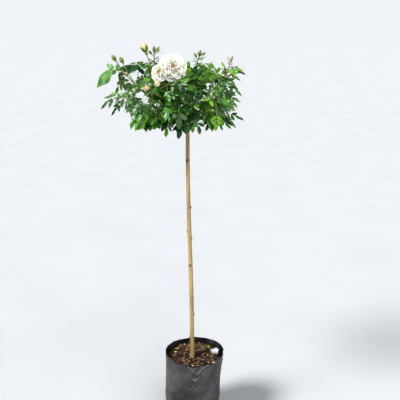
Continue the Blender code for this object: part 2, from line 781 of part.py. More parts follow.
def make_soil(collection):
    inset = BAG_WALL + GAP
    floor = BAG_WALL + GAP
    profile = [(0.0, SOIL_TOP), (SOIL_LEVEL_RADIUS, SOIL_TOP)]
    profile += [(radius, SOIL_TOP) for radius in SOIL_BUMP_RADII]
    profile += [(radius - inset, height) for height, radius in reversed(BAG_RINGS)]
    profile += [(BAG_BASE_RADIUS - inset, floor), (0.0, floor)]
    soil = turned("potting_soil", profile, collection)
    draw = random.Random(SOIL_SEED)
    for vert in soil.data.vertices:
        radius = math.hypot(vert.co.x, vert.co.y)
        raised = vert.co.z > SOIL_TOP - 0.0005
        vert.co = slump(vert.co)
        if raised and SOIL_LEVEL_RADIUS + 0.002 < radius < BAG_BODY_RADIUS - 0.012:
            vert.co.z += draw.uniform(-0.4, 1.0) * SOIL_BUMP
    return finish(soil, paint("bark_mix", COLORS["soil"], 0.95))


# ---------------------------------------------------------------- stem and canes

def tube(name, points, radii, collection, resolution):
    """A round limb from a curve whose radius changes along it, as a closed mesh."""
    curve = bpy.data.curves.new(name, "CURVE")
    curve.dimensions = "3D"
    curve.bevel_depth = 1.0
    curve.bevel_resolution = resolution
    curve.use_fill_caps = True
    spline = curve.splines.new("POLY")
    spline.points.add(len(points) - 1)
    for place, point, radius in zip(spline.points, points, radii):
        place.co = (*point, 1.0)
        place.radius = radius
    guide = bpy.data.objects.new(name + "_run", curve)
    collection.objects.link(guide)
    mesh = evaluated_mesh(guide)
    bpy.data.objects.remove(guide, do_unlink=True)
    work = bmesh.new()
    work.from_mesh(mesh)
    bmesh.ops.remove_doubles(work, verts=work.verts, dist=WELD)
    bmesh.ops.recalc_face_normals(work, faces=work.faces)
    work.to_mesh(mesh)
    work.free()
    thing = bpy.data.objects.new(name, mesh)
    collection.objects.link(thing)
    return thing


def stem_point(t):
    """The bare stem's axis, a slight double bend from its foot to the union."""
    point = STEM_FOOT.lerp(UNION, t)
    point.x += STEM_SWAY * math.sin(2 * math.pi * t)
    point.y += STEM_SWAY * 0.7 * math.sin(1.5 * math.pi * t) * (1 - t)
    return point


def stem_radius(t):
    length = UNION.z - STEM_FOOT.z
    flare = FLARE_RADIUS * max(1 - t * length / FLARE_HEIGHT, 0.0) ** 2
    return STEM_FOOT_RADIUS + (STEM_TOP_RADIUS - STEM_FOOT_RADIUS) * t + flare


def make_trunk(collection):
    """The rootstock's stem with its pruned spurs, the graft union and the canes' collars."""
    foot = STEM_FLARE_STEPS
    rest = [foot[-1] + (1 - foot[-1]) * step / STEM_STEPS for step in range(1, STEM_STEPS + 1)]
    fractions = [*foot, *rest]
    points = [stem_point(t) for t in fractions]
    radii = [stem_radius(t) for t in fractions]
    trunk = tube("trunk", points, radii, collection, 2)
    shapes = [ball(UNION, UP, UNION_RADIUS, UNION_HALF_HEIGHT * 2, 12, 8)]
    for number, height in enumerate(STEM_SCAR_HEIGHTS):
        t = (height - STEM_FOOT.z) / (UNION.z - STEM_FOOT.z)
        point = stem_point(t)
        out = polar(180 + 144 * number, 38)
        reach = stem_radius(t) + SCAR_LENGTH * 0.35
        shapes.append(loft(
            [point, point + out * reach], [SCAR_RADIUS, SCAR_RADIUS * 0.62], 6))
    for mass in MASSES:
        seat, heading = collar(mass)
        end = seat + heading * COLLAR_REACH
        shapes.append(loft([seat, end], [COLLAR_RADIUS * 1.15, COLLAR_RADIUS * 0.9], 8))
    fuse(trunk, shapes)
    return finish(trunk, paint("stem_bark", COLORS["stem"], 0.7), 50)


def make_cane(mass, path, collection, material):
    radii = [
        CANE_RADIUS + (CANE_TIP_RADIUS - CANE_RADIUS) * index / CANE_STEPS
        for index in range(CANE_STEPS + 1)
    ]
    return finish(tube("cane_" + mass.name, path, radii, collection, 1), material, 50)


def make_mass(mass, parts, collection, material):
    """One mass of foliage: its stem, side twigs, leaves, buds and flowers as a single solid."""
    twigs = parts["twigs"]
    thing = solid("foliage_" + mass.name, twigs[0].shape(), collection)
    shapes = [twig.shape() for twig in twigs[1:]]
    for twig in twigs:
        shapes += ending(twig)
    shapes.append(gather([stalk_shape(leaf) for leaf in parts["leaves"]]))
    shapes.append(gather([blade_shape(item) for leaf in parts["leaves"] for item in leaf.blades]))
    fuse(thing, shapes)
    return finish(thing, material)


def main():
    clear_scene()
    rose = new_collection("potted_standard_rose")
    make_bag(rose)
    make_soil(rose)
    make_trunk(rose)
    canes, crown = lay_out_crown()
    bark = paint("cane_bark", COLORS["cane"], 0.55)
    leaf = paint("rose_leaf", COLORS["leaf"], 0.5)
    for mass in MASSES:
        make_cane(mass, canes[mass.name], rose, bark)
        make_mass(mass, crown[mass.name], rose, leaf)


main()
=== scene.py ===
"""Looks of the potted standard rose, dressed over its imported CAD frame.

Metres, +Z up. The origin is the centre of the bag's flat underside, and -Y is the front.
The crown is laid out by the source's own rule and seeds, then carried on to finer twigs,
leaves of three, five and seven leaflets, prickles, petals and sepals within the same reach.
"""

import math
import random
from collections import namedtuple
from itertools import product

import bmesh
import bpy
import numpy as np
from mathutils import Matrix, Vector, noise
from mathutils.bvhtree import BVHTree


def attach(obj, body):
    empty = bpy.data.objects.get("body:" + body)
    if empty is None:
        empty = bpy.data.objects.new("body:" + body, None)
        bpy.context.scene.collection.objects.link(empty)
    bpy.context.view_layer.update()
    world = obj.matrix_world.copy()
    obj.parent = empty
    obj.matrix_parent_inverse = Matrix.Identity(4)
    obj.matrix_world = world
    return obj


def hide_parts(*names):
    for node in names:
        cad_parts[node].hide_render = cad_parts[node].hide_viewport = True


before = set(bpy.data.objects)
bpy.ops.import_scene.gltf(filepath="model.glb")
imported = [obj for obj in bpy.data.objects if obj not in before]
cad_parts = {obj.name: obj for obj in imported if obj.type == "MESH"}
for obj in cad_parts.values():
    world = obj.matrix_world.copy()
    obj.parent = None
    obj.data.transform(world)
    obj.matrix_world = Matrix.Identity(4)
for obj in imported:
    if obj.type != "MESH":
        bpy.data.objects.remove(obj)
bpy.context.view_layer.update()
SIDEWAYS = Vector((1.0, 0.0, 0.0))
UP = Vector((0.0, 0.0, 1.0))
FRONT = Vector((0.0, -1.0, 0.0))
TAU = 2 * math.pi

# ---------------------------------------------------------------- camera, light and floor

# The photo is 400 pixels square. Its scale board gives the camera's place, tilt and lens.
PHOTO_SIDE = 400
FOCAL_PIXELS = 583.0
SENSOR = 36.0
CAMERA_PLACE = Vector((0.033, -2.0, 1.44))
CAMERA_TILT = 15.5              # degrees below level
FLOOR_RADIUS = 400.0
HORIZON_AIR = (0.620, 0.635, 0.655)
HIGH_AIR = (0.20, 0.22, 0.25)
AIR_HEIGHTS = (0.08, 0.45)      # sines of the heights above the horizon where they stand
# Turn and height that each lamp's light comes from, its softness, in degrees, and strength.
SUNS = (("key", 210, 44, 18, 3.1), ("side", 280, 12, 40, 0.9), ("fill", 305, 40, 60, 1.3))


def put(name, data):
    """A new object in the scene."""
    thing = bpy.data.objects.new(name, data)
    bpy.context.scene.collection.objects.link(thing)
    return thing


def add_camera():
    data = bpy.data.cameras.new("camera")
    data.sensor_width = SENSOR
    data.lens = SENSOR * FOCAL_PIXELS / PHOTO_SIDE
    data.clip_start = 0.01
    data.clip_end = FLOOR_RADIUS * 2
    camera = put("camera", data)
    camera.location = CAMERA_PLACE
    camera.rotation_euler = (math.radians(90 - CAMERA_TILT), 0.0, 0.0)
    bpy.context.scene.camera = camera


def add_sun(name, turn, rise, softness, strength):
    data = bpy.data.lights.new(name, "SUN")
    data.energy = strength
    data.angle = math.radians(softness)
    put(name, data).rotation_euler = (-polar(turn, rise)).to_track_quat("-Z", "Y").to_euler()


def add_air():
    """Air that is bright round the horizon and duller overhead."""
    world = bpy.data.worlds.new("air")
    world.use_nodes = True
    nodes = world.node_tree.nodes
    place = nodes.new("ShaderNodeTexCoord").outputs["Generated"]
    height = feed(nodes.new("ShaderNodeSeparateXYZ"), Vector=place).outputs["Z"]
    feed(nodes["Background"], Color=two_tones(nodes, height, AIR_HEIGHTS, HORIZON_AIR, HIGH_AIR))
    bpy.context.scene.world = world


def add_studio():
    scene = bpy.context.scene
    scene.view_settings.view_transform = "Standard"
    scene.view_settings.look = "High Contrast"
    add_air()
    for sun in SUNS:
        add_sun(*sun)
    mesh = bmesh.new()
    bmesh.ops.create_circle(mesh, cap_ends=True, segments=96, radius=FLOOR_RADIUS)
    data = bpy.data.meshes.new("floor")
    mesh.to_mesh(data)
    mesh.free()
    data.materials.append(PAINTS["floor"])
    put("floor", data)


# ---------------------------------------------------------------- materials

def feed(node, **inputs):
    """Gives each of a node's inputs its value, or links it to another node's output."""
    for name, value in inputs.items():
        socket = node.inputs[name.replace("_", " ")]
        if isinstance(value, bpy.types.NodeSocket):
            node.id_data.links.new(value, socket)
        else:
            socket.default_value = value
    return node


def two_tones(nodes, mix, places, *tones):
    """The output of a ramp between two tones."""
    ramp = feed(nodes.new("ShaderNodeValToRGB"), Fac=mix)
    for element, place, tone in zip(ramp.color_ramp.elements, places, tones):
        element.position = place
        element.color = (*tone, 1.0)
    return ramp.outputs["Color"]


def paint(name, dark, light, grain=40, rough=(0.5, 0.6), bump=0.1, relief=300, stretch=(1, 1, 1),
          contrast=0.35, detail=4, turned=0, depth=0.001, **shader_values):
    """A procedural material: two tones, in thousandths, mixed by a noise of so many grains
    a metre, a roughness that varies with it, and a finer relief. Grain runs along stretch,
    which may be turned about Y by so many degrees."""
    material = bpy.data.materials.new(name)
    material.use_nodes = True
    nodes = material.node_tree.nodes
    mapping = nodes.new("ShaderNodeMapping")
    mapping.vector_type = "TEXTURE"
    feed(mapping, Vector=nodes.new("ShaderNodeTexCoord").outputs["Object"],
         Rotation=(0.0, math.radians(turned), 0.0), Scale=tuple(1 / share for share in stretch))
    place = mapping.outputs["Vector"]
    tone, fine = (
        feed(nodes.new("ShaderNodeTexNoise"), Vector=place, Scale=scale,
             Detail=detail).outputs["Fac"]
        for scale in (grain, relief)
    )
    spread = nodes.new("ShaderNodeMapRange")
    feed(spread, Value=tone, To_Min=rough[0], To_Max=rough[1])
    height = feed(nodes.new("ShaderNodeBump"), Strength=bump, Distance=depth, Height=fine)
    places = (0.5 - contrast / 2, 0.5 + contrast / 2)
    tones = ([part / 1000 for part in row] for row in (dark, light))
    feed(nodes["Principled BSDF"], Base_Color=two_tones(nodes, tone, places, *tones),
         Roughness=spread.outputs["Result"], Normal=height.outputs["Normal"], **shader_values)
    return material


BARK = dict(bump=0.8, relief=400)
CHIP = dict(BARK, grain=120, rough=(0.85, 0.95))
ALONG = (1, 1, 0.12)                # grain that is long along the stem
CANE = dict(grain=60, rough=(0.40, 0.52), bump=0.2, relief=500, stretch=ALONG)
TWIG = dict(grain=80, rough=(0.40, 0.50), bump=0.15, relief=500)
LEAF = dict(grain=45, rough=(0.34, 0.46), bump=0.25, relief=260, Specular_IOR_Level=0.5)
YOUNG_LEAF = dict(LEAF, rough=(0.34, 0.44), bump=0.2)
PETAL = dict(grain=45, rough=(0.60, 0.70), relief=500, Sheen_Weight=0.2)
PAINTS = {name: paint(name, dark, light, **settings) for name, dark, light, settings in (
    ("floor", (488, 493, 498), (508, 513, 518),
     dict(grain=2, rough=(0.9, 1.0), bump=0.02, Specular_IOR_Level=0.0)),
    # The film's streaked tones are partly its own mottling, and partly a painted sheen and painted
    # crease shade laid along slanting creases.
    ("film", (4, 4, 5), (58, 56, 55),
     dict(grain=22, rough=(0.22, 0.54), bump=1.0, relief=75, stretch=(1, 1, 0.28), contrast=0.28,
          detail=3, turned=48, depth=0.006, Specular_IOR_Level=1.0)),
    ("soil", (10, 6, 4), (55, 32, 20), dict(grain=160, rough=(0.9, 1.0), bump=1.0, relief=500)),
    ("chip_dark", (18, 11, 8), (50, 30, 21), CHIP),
    ("chip_brown", (55, 32, 21), (135, 76, 50), CHIP),
    ("chip_red", (110, 45, 22), (230, 100, 50), CHIP),
    ("chip_tan", (300, 190, 90), (520, 370, 200), dict(CHIP, rough=(0.8, 0.9), bump=0.6)),
    ("chip_grey", (110, 90, 80), (220, 190, 170), dict(CHIP, bump=0.7)),
    ("straw", (420, 300, 110), (640, 480, 230), dict(grain=90, rough=(0.6, 0.7), bump=0.3)),
    ("bark", (165, 118, 50), (420, 312, 150),
     dict(grain=70, rough=(0.55, 0.75), bump=0.55, relief=420, stretch=ALONG, contrast=0.5)),
    ("scar", (75, 45, 26), (200, 125, 70), dict(BARK, grain=260, rough=(0.8, 0.9), relief=700)),
    ("knot", (130, 80, 45), (300, 200, 120), dict(BARK, grain=150, rough=(0.7, 0.85), relief=500)),
    ("cane", (60, 85, 22), (150, 170, 50), CANE),
    ("cane_red", (130, 60, 30), (230, 120, 55), CANE),
    ("twig", (85, 150, 30), (190, 280, 70), TWIG),
    ("twig_red", (150, 90, 40), (260, 160, 70), TWIG),
    ("prickle", (160, 60, 35), (330, 170, 100), dict(grain=200, rough=(0.4, 0.5))),
    ("leaf_deep", (12, 46, 10), (32, 96, 20), dict(LEAF, rough=(0.32, 0.44))),
    ("leaf_mid", (36, 112, 10), (82, 215, 24), LEAF),
    # Bluish green: partly the leaves' own tone, partly a painted sheen of the bright sky on glossy
    # leaves.
    ("leaf_blue", (46, 132, 30), (104, 232, 64),
     dict(LEAF, rough=(0.32, 0.44), Specular_IOR_Level=0.6)),
    ("leaf_fresh", (90, 220, 14), (170, 350, 32), dict(YOUNG_LEAF, Specular_IOR_Level=0.6)),
    ("leaf_lime", (130, 280, 12), (230, 410, 28),
     dict(YOUNG_LEAF, rough=(0.38, 0.48), Specular_IOR_Level=0.35)),
    ("leaf_bronze", (120, 105, 24), (225, 180, 48), dict(YOUNG_LEAF, Specular_IOR_Level=0.4)),
    ("leaf_under", (130, 220, 80), (220, 310, 145),
     dict(grain=90, rough=(0.60, 0.72), bump=0.3, relief=320, Specular_IOR_Level=0.25)),
    ("leaf_fallen", (420, 420, 90), (620, 560, 200), dict(grain=110, bump=0.3)),
    # The outer whorls' petals are a darker grey than the rest: painted shade that keeps them from
    # glaring white under the key lamp.
    ("petal_rim", (590, 580, 510), (670, 665, 605), PETAL),
    ("petal", (700, 690, 600), (780, 770, 705), PETAL),
    ("petal_cream", (700, 595, 370), (775, 705, 510), PETAL),
    ("petal_blush", (500, 325, 165), (620, 475, 270),
     dict(PETAL, grain=60, rough=(0.45, 0.55), bump=0.12, Sheen_Weight=0.15)),
    # Bluish grey on a white petal: painted shade on the petal shed on the soil.
    ("petal_fallen", (300, 360, 440), (560, 570, 600), dict(grain=60, bump=0.2)),
    ("sepal", (80, 150, 30), (180, 260, 60),
     dict(grain=150, rough=(0.45, 0.55), bump=0.2, relief=500)),
    ("stamen", (420, 200, 30), (640, 380, 80), dict(grain=400)),
    ("anther", (210, 95, 18), (480, 260, 50), dict(grain=600, rough=(0.6, 0.7))),
)}


# ---------------------------------------------------------------- pieces

class Piece:
    """Gathers shapes, each with its material, and makes one object of them."""

    def __init__(self, name, slot, *nodes):
        self.name, self.slot, self.nodes = name, slot, nodes
        self.verts, self.faces, self.paints, self.count = [], [], [], 0

    def add(self, verts, *groups):
        """Points, and groups of faces on them, each with one material or one for each face."""
        verts = np.asarray(verts, float).reshape(-1, 3)
        self.verts.append(verts)
        for faces, material in groups:
            self.faces += (np.asarray(faces, int) + self.count).tolist()
            self.paints += [material] * len(faces) if isinstance(material, str) else material
        self.count += len(verts)

    def add_turned(self, form, turn, place):
        """A form, which is points and groups of faces, turned and set down at a place."""
        verts, *groups = form
        self.add(np.array(verts) @ turn.T + np.array(place), *groups)

    def make(self, sharp_degrees=None):
        names = sorted(set(self.paints))
        mesh = bpy.data.meshes.new(self.name)
        mesh.from_pydata(np.concatenate(self.verts).tolist(), [], self.faces, shade_flat=False)
        mesh.polygons.foreach_set("material_index", [names.index(name) for name in self.paints])
        mesh.validate()
        for name in names:
            mesh.materials.append(PAINTS[name])
        if sharp_degrees:
            mesh.set_sharp_from_angle(angle=math.radians(sharp_degrees))
        piece = put(self.name, mesh)
        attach(piece, "root")
        if self.nodes:
            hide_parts(*self.nodes)


def grid_faces(rows, columns, closed=False):
    """Quads over rows of points, each row closed into a ring or not."""
    across = columns if closed else columns - 1
    row, column = np.meshgrid(np.arange(rows - 1), np.arange(across), indexing="ij")
    here = (row * columns + column).ravel()
    beside = (row * columns + (column + 1) % columns).ravel()
    return np.stack([here, beside, beside + columns, here + columns], 1)


def fan(first, sides, centre, up=True):
    """Triangles from a ring of points, by the number of its first, to its centre."""
    step = first + np.arange(sides)
    beyond = first + (np.arange(sides) + 1) % sides
    edge = [step, beyond] if up else [beyond, step]
    return np.stack([*edge, np.full(sides, centre)], 1)


def body(shape, material):
    """A closed shape as a form, with its faces in groups of quads and of triangles."""
    verts, faces = shape
    quads, caps = ([face for face in faces if len(face) == corners] for corners in (4, 3))
    return verts, (quads, material), (caps, material)


def at_turn(turn, out=1.0, height=0.0):
    return Vector((out * math.cos(turn), out * math.sin(turn), height))


def turns(count):
    """So many even turns round a ring."""
    return [TAU * step / count for step in range(count)]


def about(square, turn):
    """The direction at a turn between two directions square to each other."""
    side, other = square
    return side * math.cos(turn) + other * math.sin(turn)


def shares(count):
    """So many even shares from 0 to 1."""
    return [number / (count - 1) for number in range(count)]


def turned_to(axis, spin=0.0):
    """A rotation as an array that takes +Z to the axis."""
    turn = axis.to_track_quat("Z", "Y").to_matrix() @ Matrix.Rotation(spin, 3, "Z")
    return np.array(turn)


def smooth_run(points, count):
    """So many points on a smooth curve through a run of points, evenly in its parameter."""
    points = [Vector(point) for point in points]
    ends = [points[0] * 2 - points[1], *points, points[-1] * 2 - points[-2]]
    run = []
    for share in shares(count):
        place = share * (len(points) - 1)
        index = min(int(place), len(points) - 2)
        t = place - index
        a, b, c, d = ends[index:index + 4]
        run.append((b * 2 + (c - a) * t + (a * 2 - b * 5 + c * 4 - d) * t * t
                    + (b * 3 - a - c * 3 + d) * t ** 3) / 2)
    return run


def rings_round(points, radii, sides, side, relief=None):
    """Rings of points square to a run of points, each with a corner towards one side.
    Relief gives what a ring and a turn add to its radius."""
    rings = []
    for index, point in enumerate(points):
        before, after = points[max(index - 1, 0)], points[min(index + 1, len(points) - 1)]
        heading = (after - before).normalized()
        side = (side - heading * side.dot(heading)).normalized()
        square = (side, heading.cross(side))
        for turn in turns(sides):
            radius = radii[index] + (relief(index, turn) if relief else 0.0)
            rings.append(point + about(square, turn) * radius)
    return rings


def limb(points, radii, sides, material, relief=None):
    """A round limb through the points as a form, closed at both ends."""
    side = SIDEWAYS if abs((points[1] - points[0]).normalized().x) < 0.9 else UP
    rings = rings_round(points, radii, sides, side, relief)
    foot, head = len(rings), len(rings) + 1
    caps = np.concatenate([fan(0, sides, foot, up=False), fan(foot - sides, sides, head)])
    walls = grid_faces(len(points), sides, closed=True)
    return [*rings, points[0], points[-1]], (walls, material), (caps, material)


# ---------------------------------------------------------------- the source's crown rule

GAP = 0.0003
SOIL_TOP = 0.262
STEM_FOOT = Vector((0.003, -0.004, SOIL_TOP + GAP))
UNION = Vector((-0.010, 0.0, 1.150))
STEM_FOOT_RADIUS = 0.0080
STEM_TOP_RADIUS = 0.0066
UNION_RADIUS = 0.0120
UNION_HALF_HEIGHT = 0.020
CANE_RADIUS = 0.0042
CANE_TIP_RADIUS = 0.0030
COLLAR_REACH = 0.0175       # from the cane's seat to the collar's end face
CANE_STEPS = 6
STRAIGHT = 0.005            # a limb's first stretch, square to the face that it meets
CANE_LIFT = 12.0            # degrees that a cane leaves the union steeper than it ends
CANE_STEEPEST = 84.0
SEAT_SPREAD = 0.0004        # each degree steeper, a cane is set this much higher on the union
SEAT_OFFSET = 0.0065        # how far out from the union's axis it is set

# Twigs
STEM_TWIG_RADIUS = 0.0028
BRANCH_SLENDER = 0.80       # a branch's radius at its foot, of the radius of a mass's stem
SPRAY_SLENDER = 0.72        # and a side twig's
TWIG_TIP_RADIUS = 0.0017
TWIG_STEPS = 4
INTERNODE = 0.022
GOLDEN_TURN = math.radians(137.5)
SPRAYS_FROM, SPRAYS_TO = 0.04, 0.74     # the stretch of a stem that bears side twigs
SPRAY_REACH = (0.55, 0.80)              # a side twig's length, of its mass's room
SPRAY_AHEAD, SPRAY_RISE = 0.55, 0.15    # how far it leans along the stem, and up
SPRAY_SHORTER = 0.06                    # taken off its length at each further try

# Leaves
STALK_RADIUS = 0.0014
STALK_TAPER = 0.75
STALK_SHARE = 0.45          # of its end leaflet's length, from the twig to its first leaflets
END_STALK_SHARE = 0.24      # and from them to its end leaflet
SIDE_SHARE = 0.86           # a side leaflet's length, of the end leaflet's
SIDE_AHEAD, SIDE_HANG = 0.50, 0.10      # how far side leaflets lean ahead, and hang
END_HANG = 0.12
END_SINK = 0.002
BLADE_WIDTH = 0.70          # of its length
BLADE_THICKNESS = 0.022     # of its length
BLADE_WAIST = 0.43          # where along its length a leaflet is widest
BLADE_FOLD = 0.16
BLADE_CURL = 0.10
ROOT_SPLIT = 0.00015        # keeps the roots of a pair of leaflets apart
LEAF_SIZES = (0.86, 1.12)   # of its mass's leaf length
LEAF_AHEAD, LEAF_OUT = 0.35, 0.80       # how far a leaf leans along its twig, and off it
LEAF_HANGS = (0.5, 1.1)     # of the droop at its height
LEAF_TILTS = (-0.3, 0.3)
FACE_UP, FACE_OUT, FACE_FRONT = 0.60, 0.50, 0.45    # where a leaf's upper side looks
FACE_AHEAD = 0.05           # how far along a leaf its upper side's direction is taken
RETRY_TURN = 0.9            # from one direction that a leaf tries to the next, in radians
CLEARANCE = 0.0008          # from any other piece, while the crown is laid out
SPACE_SLACK = 0.014         # how far a leaf may reach past the plane between two masses
CROWN_TOP = 1.366           # seeded twigs and leaves stay between these heights
CROWN_FOOT = 1.142
TRIES = 10

# Flowers and buds. A flower from its back to the middle of its face, in shares of its
# radius: out from its axis, along its axis, and how deep its petals scallop it there.
FLOWER_PROFILE = (
    (0.00, -0.06, 0.00), (0.30, 0.03, 0.00), (0.80, 0.16, 0.06), (1.00, 0.36, 0.10),
    (0.90, 0.46, 0.10), (0.68, 0.40, 0.05), (0.56, 0.58, 0.08), (0.30, 0.64, 0.10),
    (0.00, 0.58, 0.00),
)
FLOWER_PETALS = 5
# Turn and rise of the way it looks, and radius.
FLOWERS = {"bloom": (276, 24, 0.045), "half_bloom": (250, 20, 0.031)}
# What leans it from its twig's direction, radius and length.
UPRIGHT = Vector()
BUDS = {
    "spear": (UPRIGHT, 0.0030, 0.020),
    "small_bud": (UPRIGHT, 0.0050, 0.018),
    "green_bud": (UPRIGHT, 0.0062, 0.021),
    "peach_bud": (UPRIGHT, 0.0105, 0.034),
    "opening_bud": (Vector((-0.17, -0.97, 0.17)), 0.0095, 0.020),
    "hanging_bud": (Vector((-0.06, -0.64, 0.77)), 0.0082, 0.023),
    "cluster": (UPRIGHT, 0.0050, 0.019),
}
CLUSTER_BUD = (0.0038, 0.014)       # radius and length of the two side buds of a cluster
CLUSTER_STALK = 0.014
CLUSTER_STALK_RADII = (0.0013, 0.0011)
CLUSTER_LEAN = 0.9
CLUSTER_LOW, CLUSTER_STAGGER = 0.012, 0.006     # how far below its tip they leave the twig
BUD_SEAT = 0.42             # a bud's middle stands this share of its length off its point
# The last stretch of a twig, without leaves, by what it ends in.
BARE_END = {
    "tip": 0.0, "spear": 0.015, "small_bud": 0.022, "green_bud": 0.100, "cluster": 0.030,
    "peach_bud": 0.052, "opening_bud": 0.030, "hanging_bud": 0.030,
    "bloom": 0.035, "half_bloom": 0.032,
}

# Each cane's tip and each leader's tip are seen from the union: turn about +Z from +X and
# rise above level, in degrees, and reach in metres. Room is how far leaves stand off the
# mass's stem, sprays its number of seeded side twigs, and leaf its end leaflets' length.
Mass = namedtuple("Mass", "name cane leader end sprays leaf room seed")
MASSES = (
    Mass("bloom", (238, 50, 0.060), (244, 63, 0.220), "bloom", 5, 0.048, 0.115, 3),
    Mass("front_left", (215, 30, 0.066), (214, 28, 0.180), "tip", 5, 0.050, 0.110, 5),
    Mass("front_low", (268, 34, 0.056), (262, 32, 0.125), "tip", 5, 0.050, 0.110, 7),
    Mass("front_right", (306, 36, 0.066), (306, 50, 0.205), "small_bud", 5, 0.048, 0.115, 11),
    Mass("left_long", (188, 39, 0.150), (187, 43, 0.325), "green_bud", 3, 0.050, 0.120, 13),
    Mass("left_low", (190, 21, 0.100), (194, 27, 0.250), "tip", 3, 0.050, 0.100, 17),
    Mass("top_left", (172, 58, 0.085), (180, 61, 0.285), "peach_bud", 4, 0.050, 0.115, 19),
    Mass("top_right", (50, 80, 0.080), (27, 79, 0.240), "cluster", 5, 0.046, 0.110, 23),
    Mass("right_long", (0, 50, 0.080), (0, 56, 0.262), "spear", 4, 0.046, 0.110, 29),
    Mass("right_low", (346, 30, 0.064), (352, 27, 0.165), "tip", 4, 0.046, 0.110, 31),
    Mass("back_left", (137, 38, 0.070), (142, 37, 0.215), "tip", 4, 0.050, 0.110, 37),
    Mass("back", (82, 46, 0.070), (86, 48, 0.205), "small_bud", 4, 0.050, 0.110, 41),
    Mass("back_right", (36, 34, 0.068), (36, 38, 0.195), "tip", 4, 0.048, 0.095, 43),
)

# Further twigs that carry a flower or bud: where on the stem they leave it, their tip seen
# from the union, and what they end in.
Branch = namedtuple("Branch", "mass leaves_at tip end")
BRANCHES = (
    Branch("bloom", 0.30, (231, 55, 0.221), "half_bloom"),
    Branch("bloom", 0.18, (234, 44, 0.213), "opening_bud"),
    Branch("bloom", 0.10, (224, 38, 0.213), "hanging_bud"),
    Branch("left_long", 0.55, (185, 45, 0.303), "green_bud"),
    Branch("top_left", 0.62, (176, 66, 0.272), "cluster"),
    Branch("right_long", 0.62, (357, 50, 0.240), "tip"),
)

# Leaves that give the crown its furthest reach: the mass that carries each, where on its
# stem, its direction, its end leaflet's length and how far that hangs, and how many pairs of
# side leaflets it has.
Leaf = namedtuple("Leaf", "mass at turn rise size hang pairs")
REACHING_LEAVES = (
    Leaf("left_long", 0.82, 183, 7, 0.080, 0.95, 0),
    Leaf("top_left", 0.80, 186, 4, 0.080, 0.05, 0),
    Leaf("left_long", 0.42, 194, -2, 0.050, 0.50, 1),
    Leaf("left_low", 0.94, 188, -16, 0.054, 0.42, 1),
    Leaf("left_low", 0.40, 204, -42, 0.046, 0.35, 1),
    Leaf("right_long", 0.86, 352, 20, 0.033, 0.85, 1),
    Leaf("right_long", 0.60, 352, -12, 0.040, 0.40, 1),
    Leaf("right_low", 0.68, 354, 8, 0.036, 0.50, 1),
    Leaf("right_low", 0.44, 342, -44, 0.044, 0.40, 1),
    Leaf("front_right", 0.12, 300, -70, 0.038, 0.20, 1),
    Leaf("front_low", 0.55, 214, -66, 0.050, 0.30, 1),
    Leaf("front_left", 0.30, 222, -68, 0.044, 0.30, 1),
)


def polar(turn, rise, reach=1.0):
    """A vector from its turn about +Z and its rise above level, in degrees."""
    across = math.cos(math.radians(rise)) * reach
    return at_turn(math.radians(turn), across, math.sin(math.radians(rise)) * reach)


def sweep(start, heading, end, steps):
    """Points of an arc that leaves start along heading, straight at first, and comes to end."""
    points = [start]
    start = start + heading * STRAIGHT
    middle = start + heading * (end - start).length * 0.45
    for t in shares(steps):
        points.append(start * (1 - t) ** 2 + middle * (2 * t * (1 - t)) + end * t ** 2)
    return points


def along(points, t):
    """The place and direction at a fraction of a run of points."""
    place = min(max(t, 0.0), 0.9999) * (len(points) - 1)
    index = int(place)
    start, end = points[index], points[index + 1]
    return start.lerp(end, place - index), (end - start).normalized()


def length_of(points):
    return sum((b - a).length for a, b in zip(points, points[1:]))


def loft(points, radii, sides, top=None):
    """A tapering stick through the points, with flat ends and a corner towards top."""
    level = abs((points[1] - points[0]).normalized().z) < 0.9
    verts = rings_round(points, radii, sides, top or (UP if level else SIDEWAYS))
    faces = []
    for index in range(0, len(verts) - sides, sides):
        for step in range(sides):
            a, b = index + step, index + (step + 1) % sides
            faces.append((a, b, b + sides, a + sides))
    faces.append(tuple(range(sides))[::-1])
    faces.append(tuple(range(len(verts) - sides, len(verts))))
    return verts, faces


def blade(root, axis, face, length, width, grow=0.0):
    """A folded leaflet of eight faces."""
    side = axis.cross(face).normalized()
    face = side.cross(axis).normalized()
    half = width / 2 + grow
    thick = length * BLADE_THICKNESS / 2 + grow
    waist = root + axis * (length * BLADE_WAIST)
    lifted = face * (width / 2 * BLADE_FOLD)
    verts = [
        root,
        waist - side * half + lifted,
        root + axis * (length + grow) - face * (length * BLADE_CURL),
        waist + side * half + lifted,
        waist + face * thick,
        waist - face * thick,
    ]
    faces = [(1, 0, 4), (2, 1, 4), (3, 2, 4), (0, 3, 4), (0, 1, 5), (1, 2, 5), (2, 3, 5), (3, 0, 5)]
    return verts, faces


def sphere_shape(segments, rings, centre, axis, size=(1, 1, 1), shaper=None):
    """A sphere, reshaped or stretched, with its +Z along an axis."""
    mesh = bmesh.new()
    bmesh.ops.create_uvsphere(mesh, u_segments=segments, v_segments=rings, radius=1.0)
    for vert in mesh.verts if shaper else ():
        vert.co = shaper(vert.co)
    turn = axis.to_track_quat("Z", "Y").to_matrix().to_4x4()
    matrix = Matrix.Translation(centre) @ turn @ Matrix.Diagonal((*size, 1.0))
    bmesh.ops.transform(mesh, matrix=matrix, verts=mesh.verts)
    verts = [vert.co.copy() for vert in mesh.verts]
    # Sorted, as the sphere's faces come in another order each run.
    faces = sorted(tuple(vert.index for vert in face.verts) for face in mesh.faces)
    mesh.free()
    return verts, faces


def ball(centre, axis, radius, length, segments, rings):
    """A round or egg-shaped body along an axis."""
    return sphere_shape(segments, rings, centre, axis, (radius, radius, length / 2))


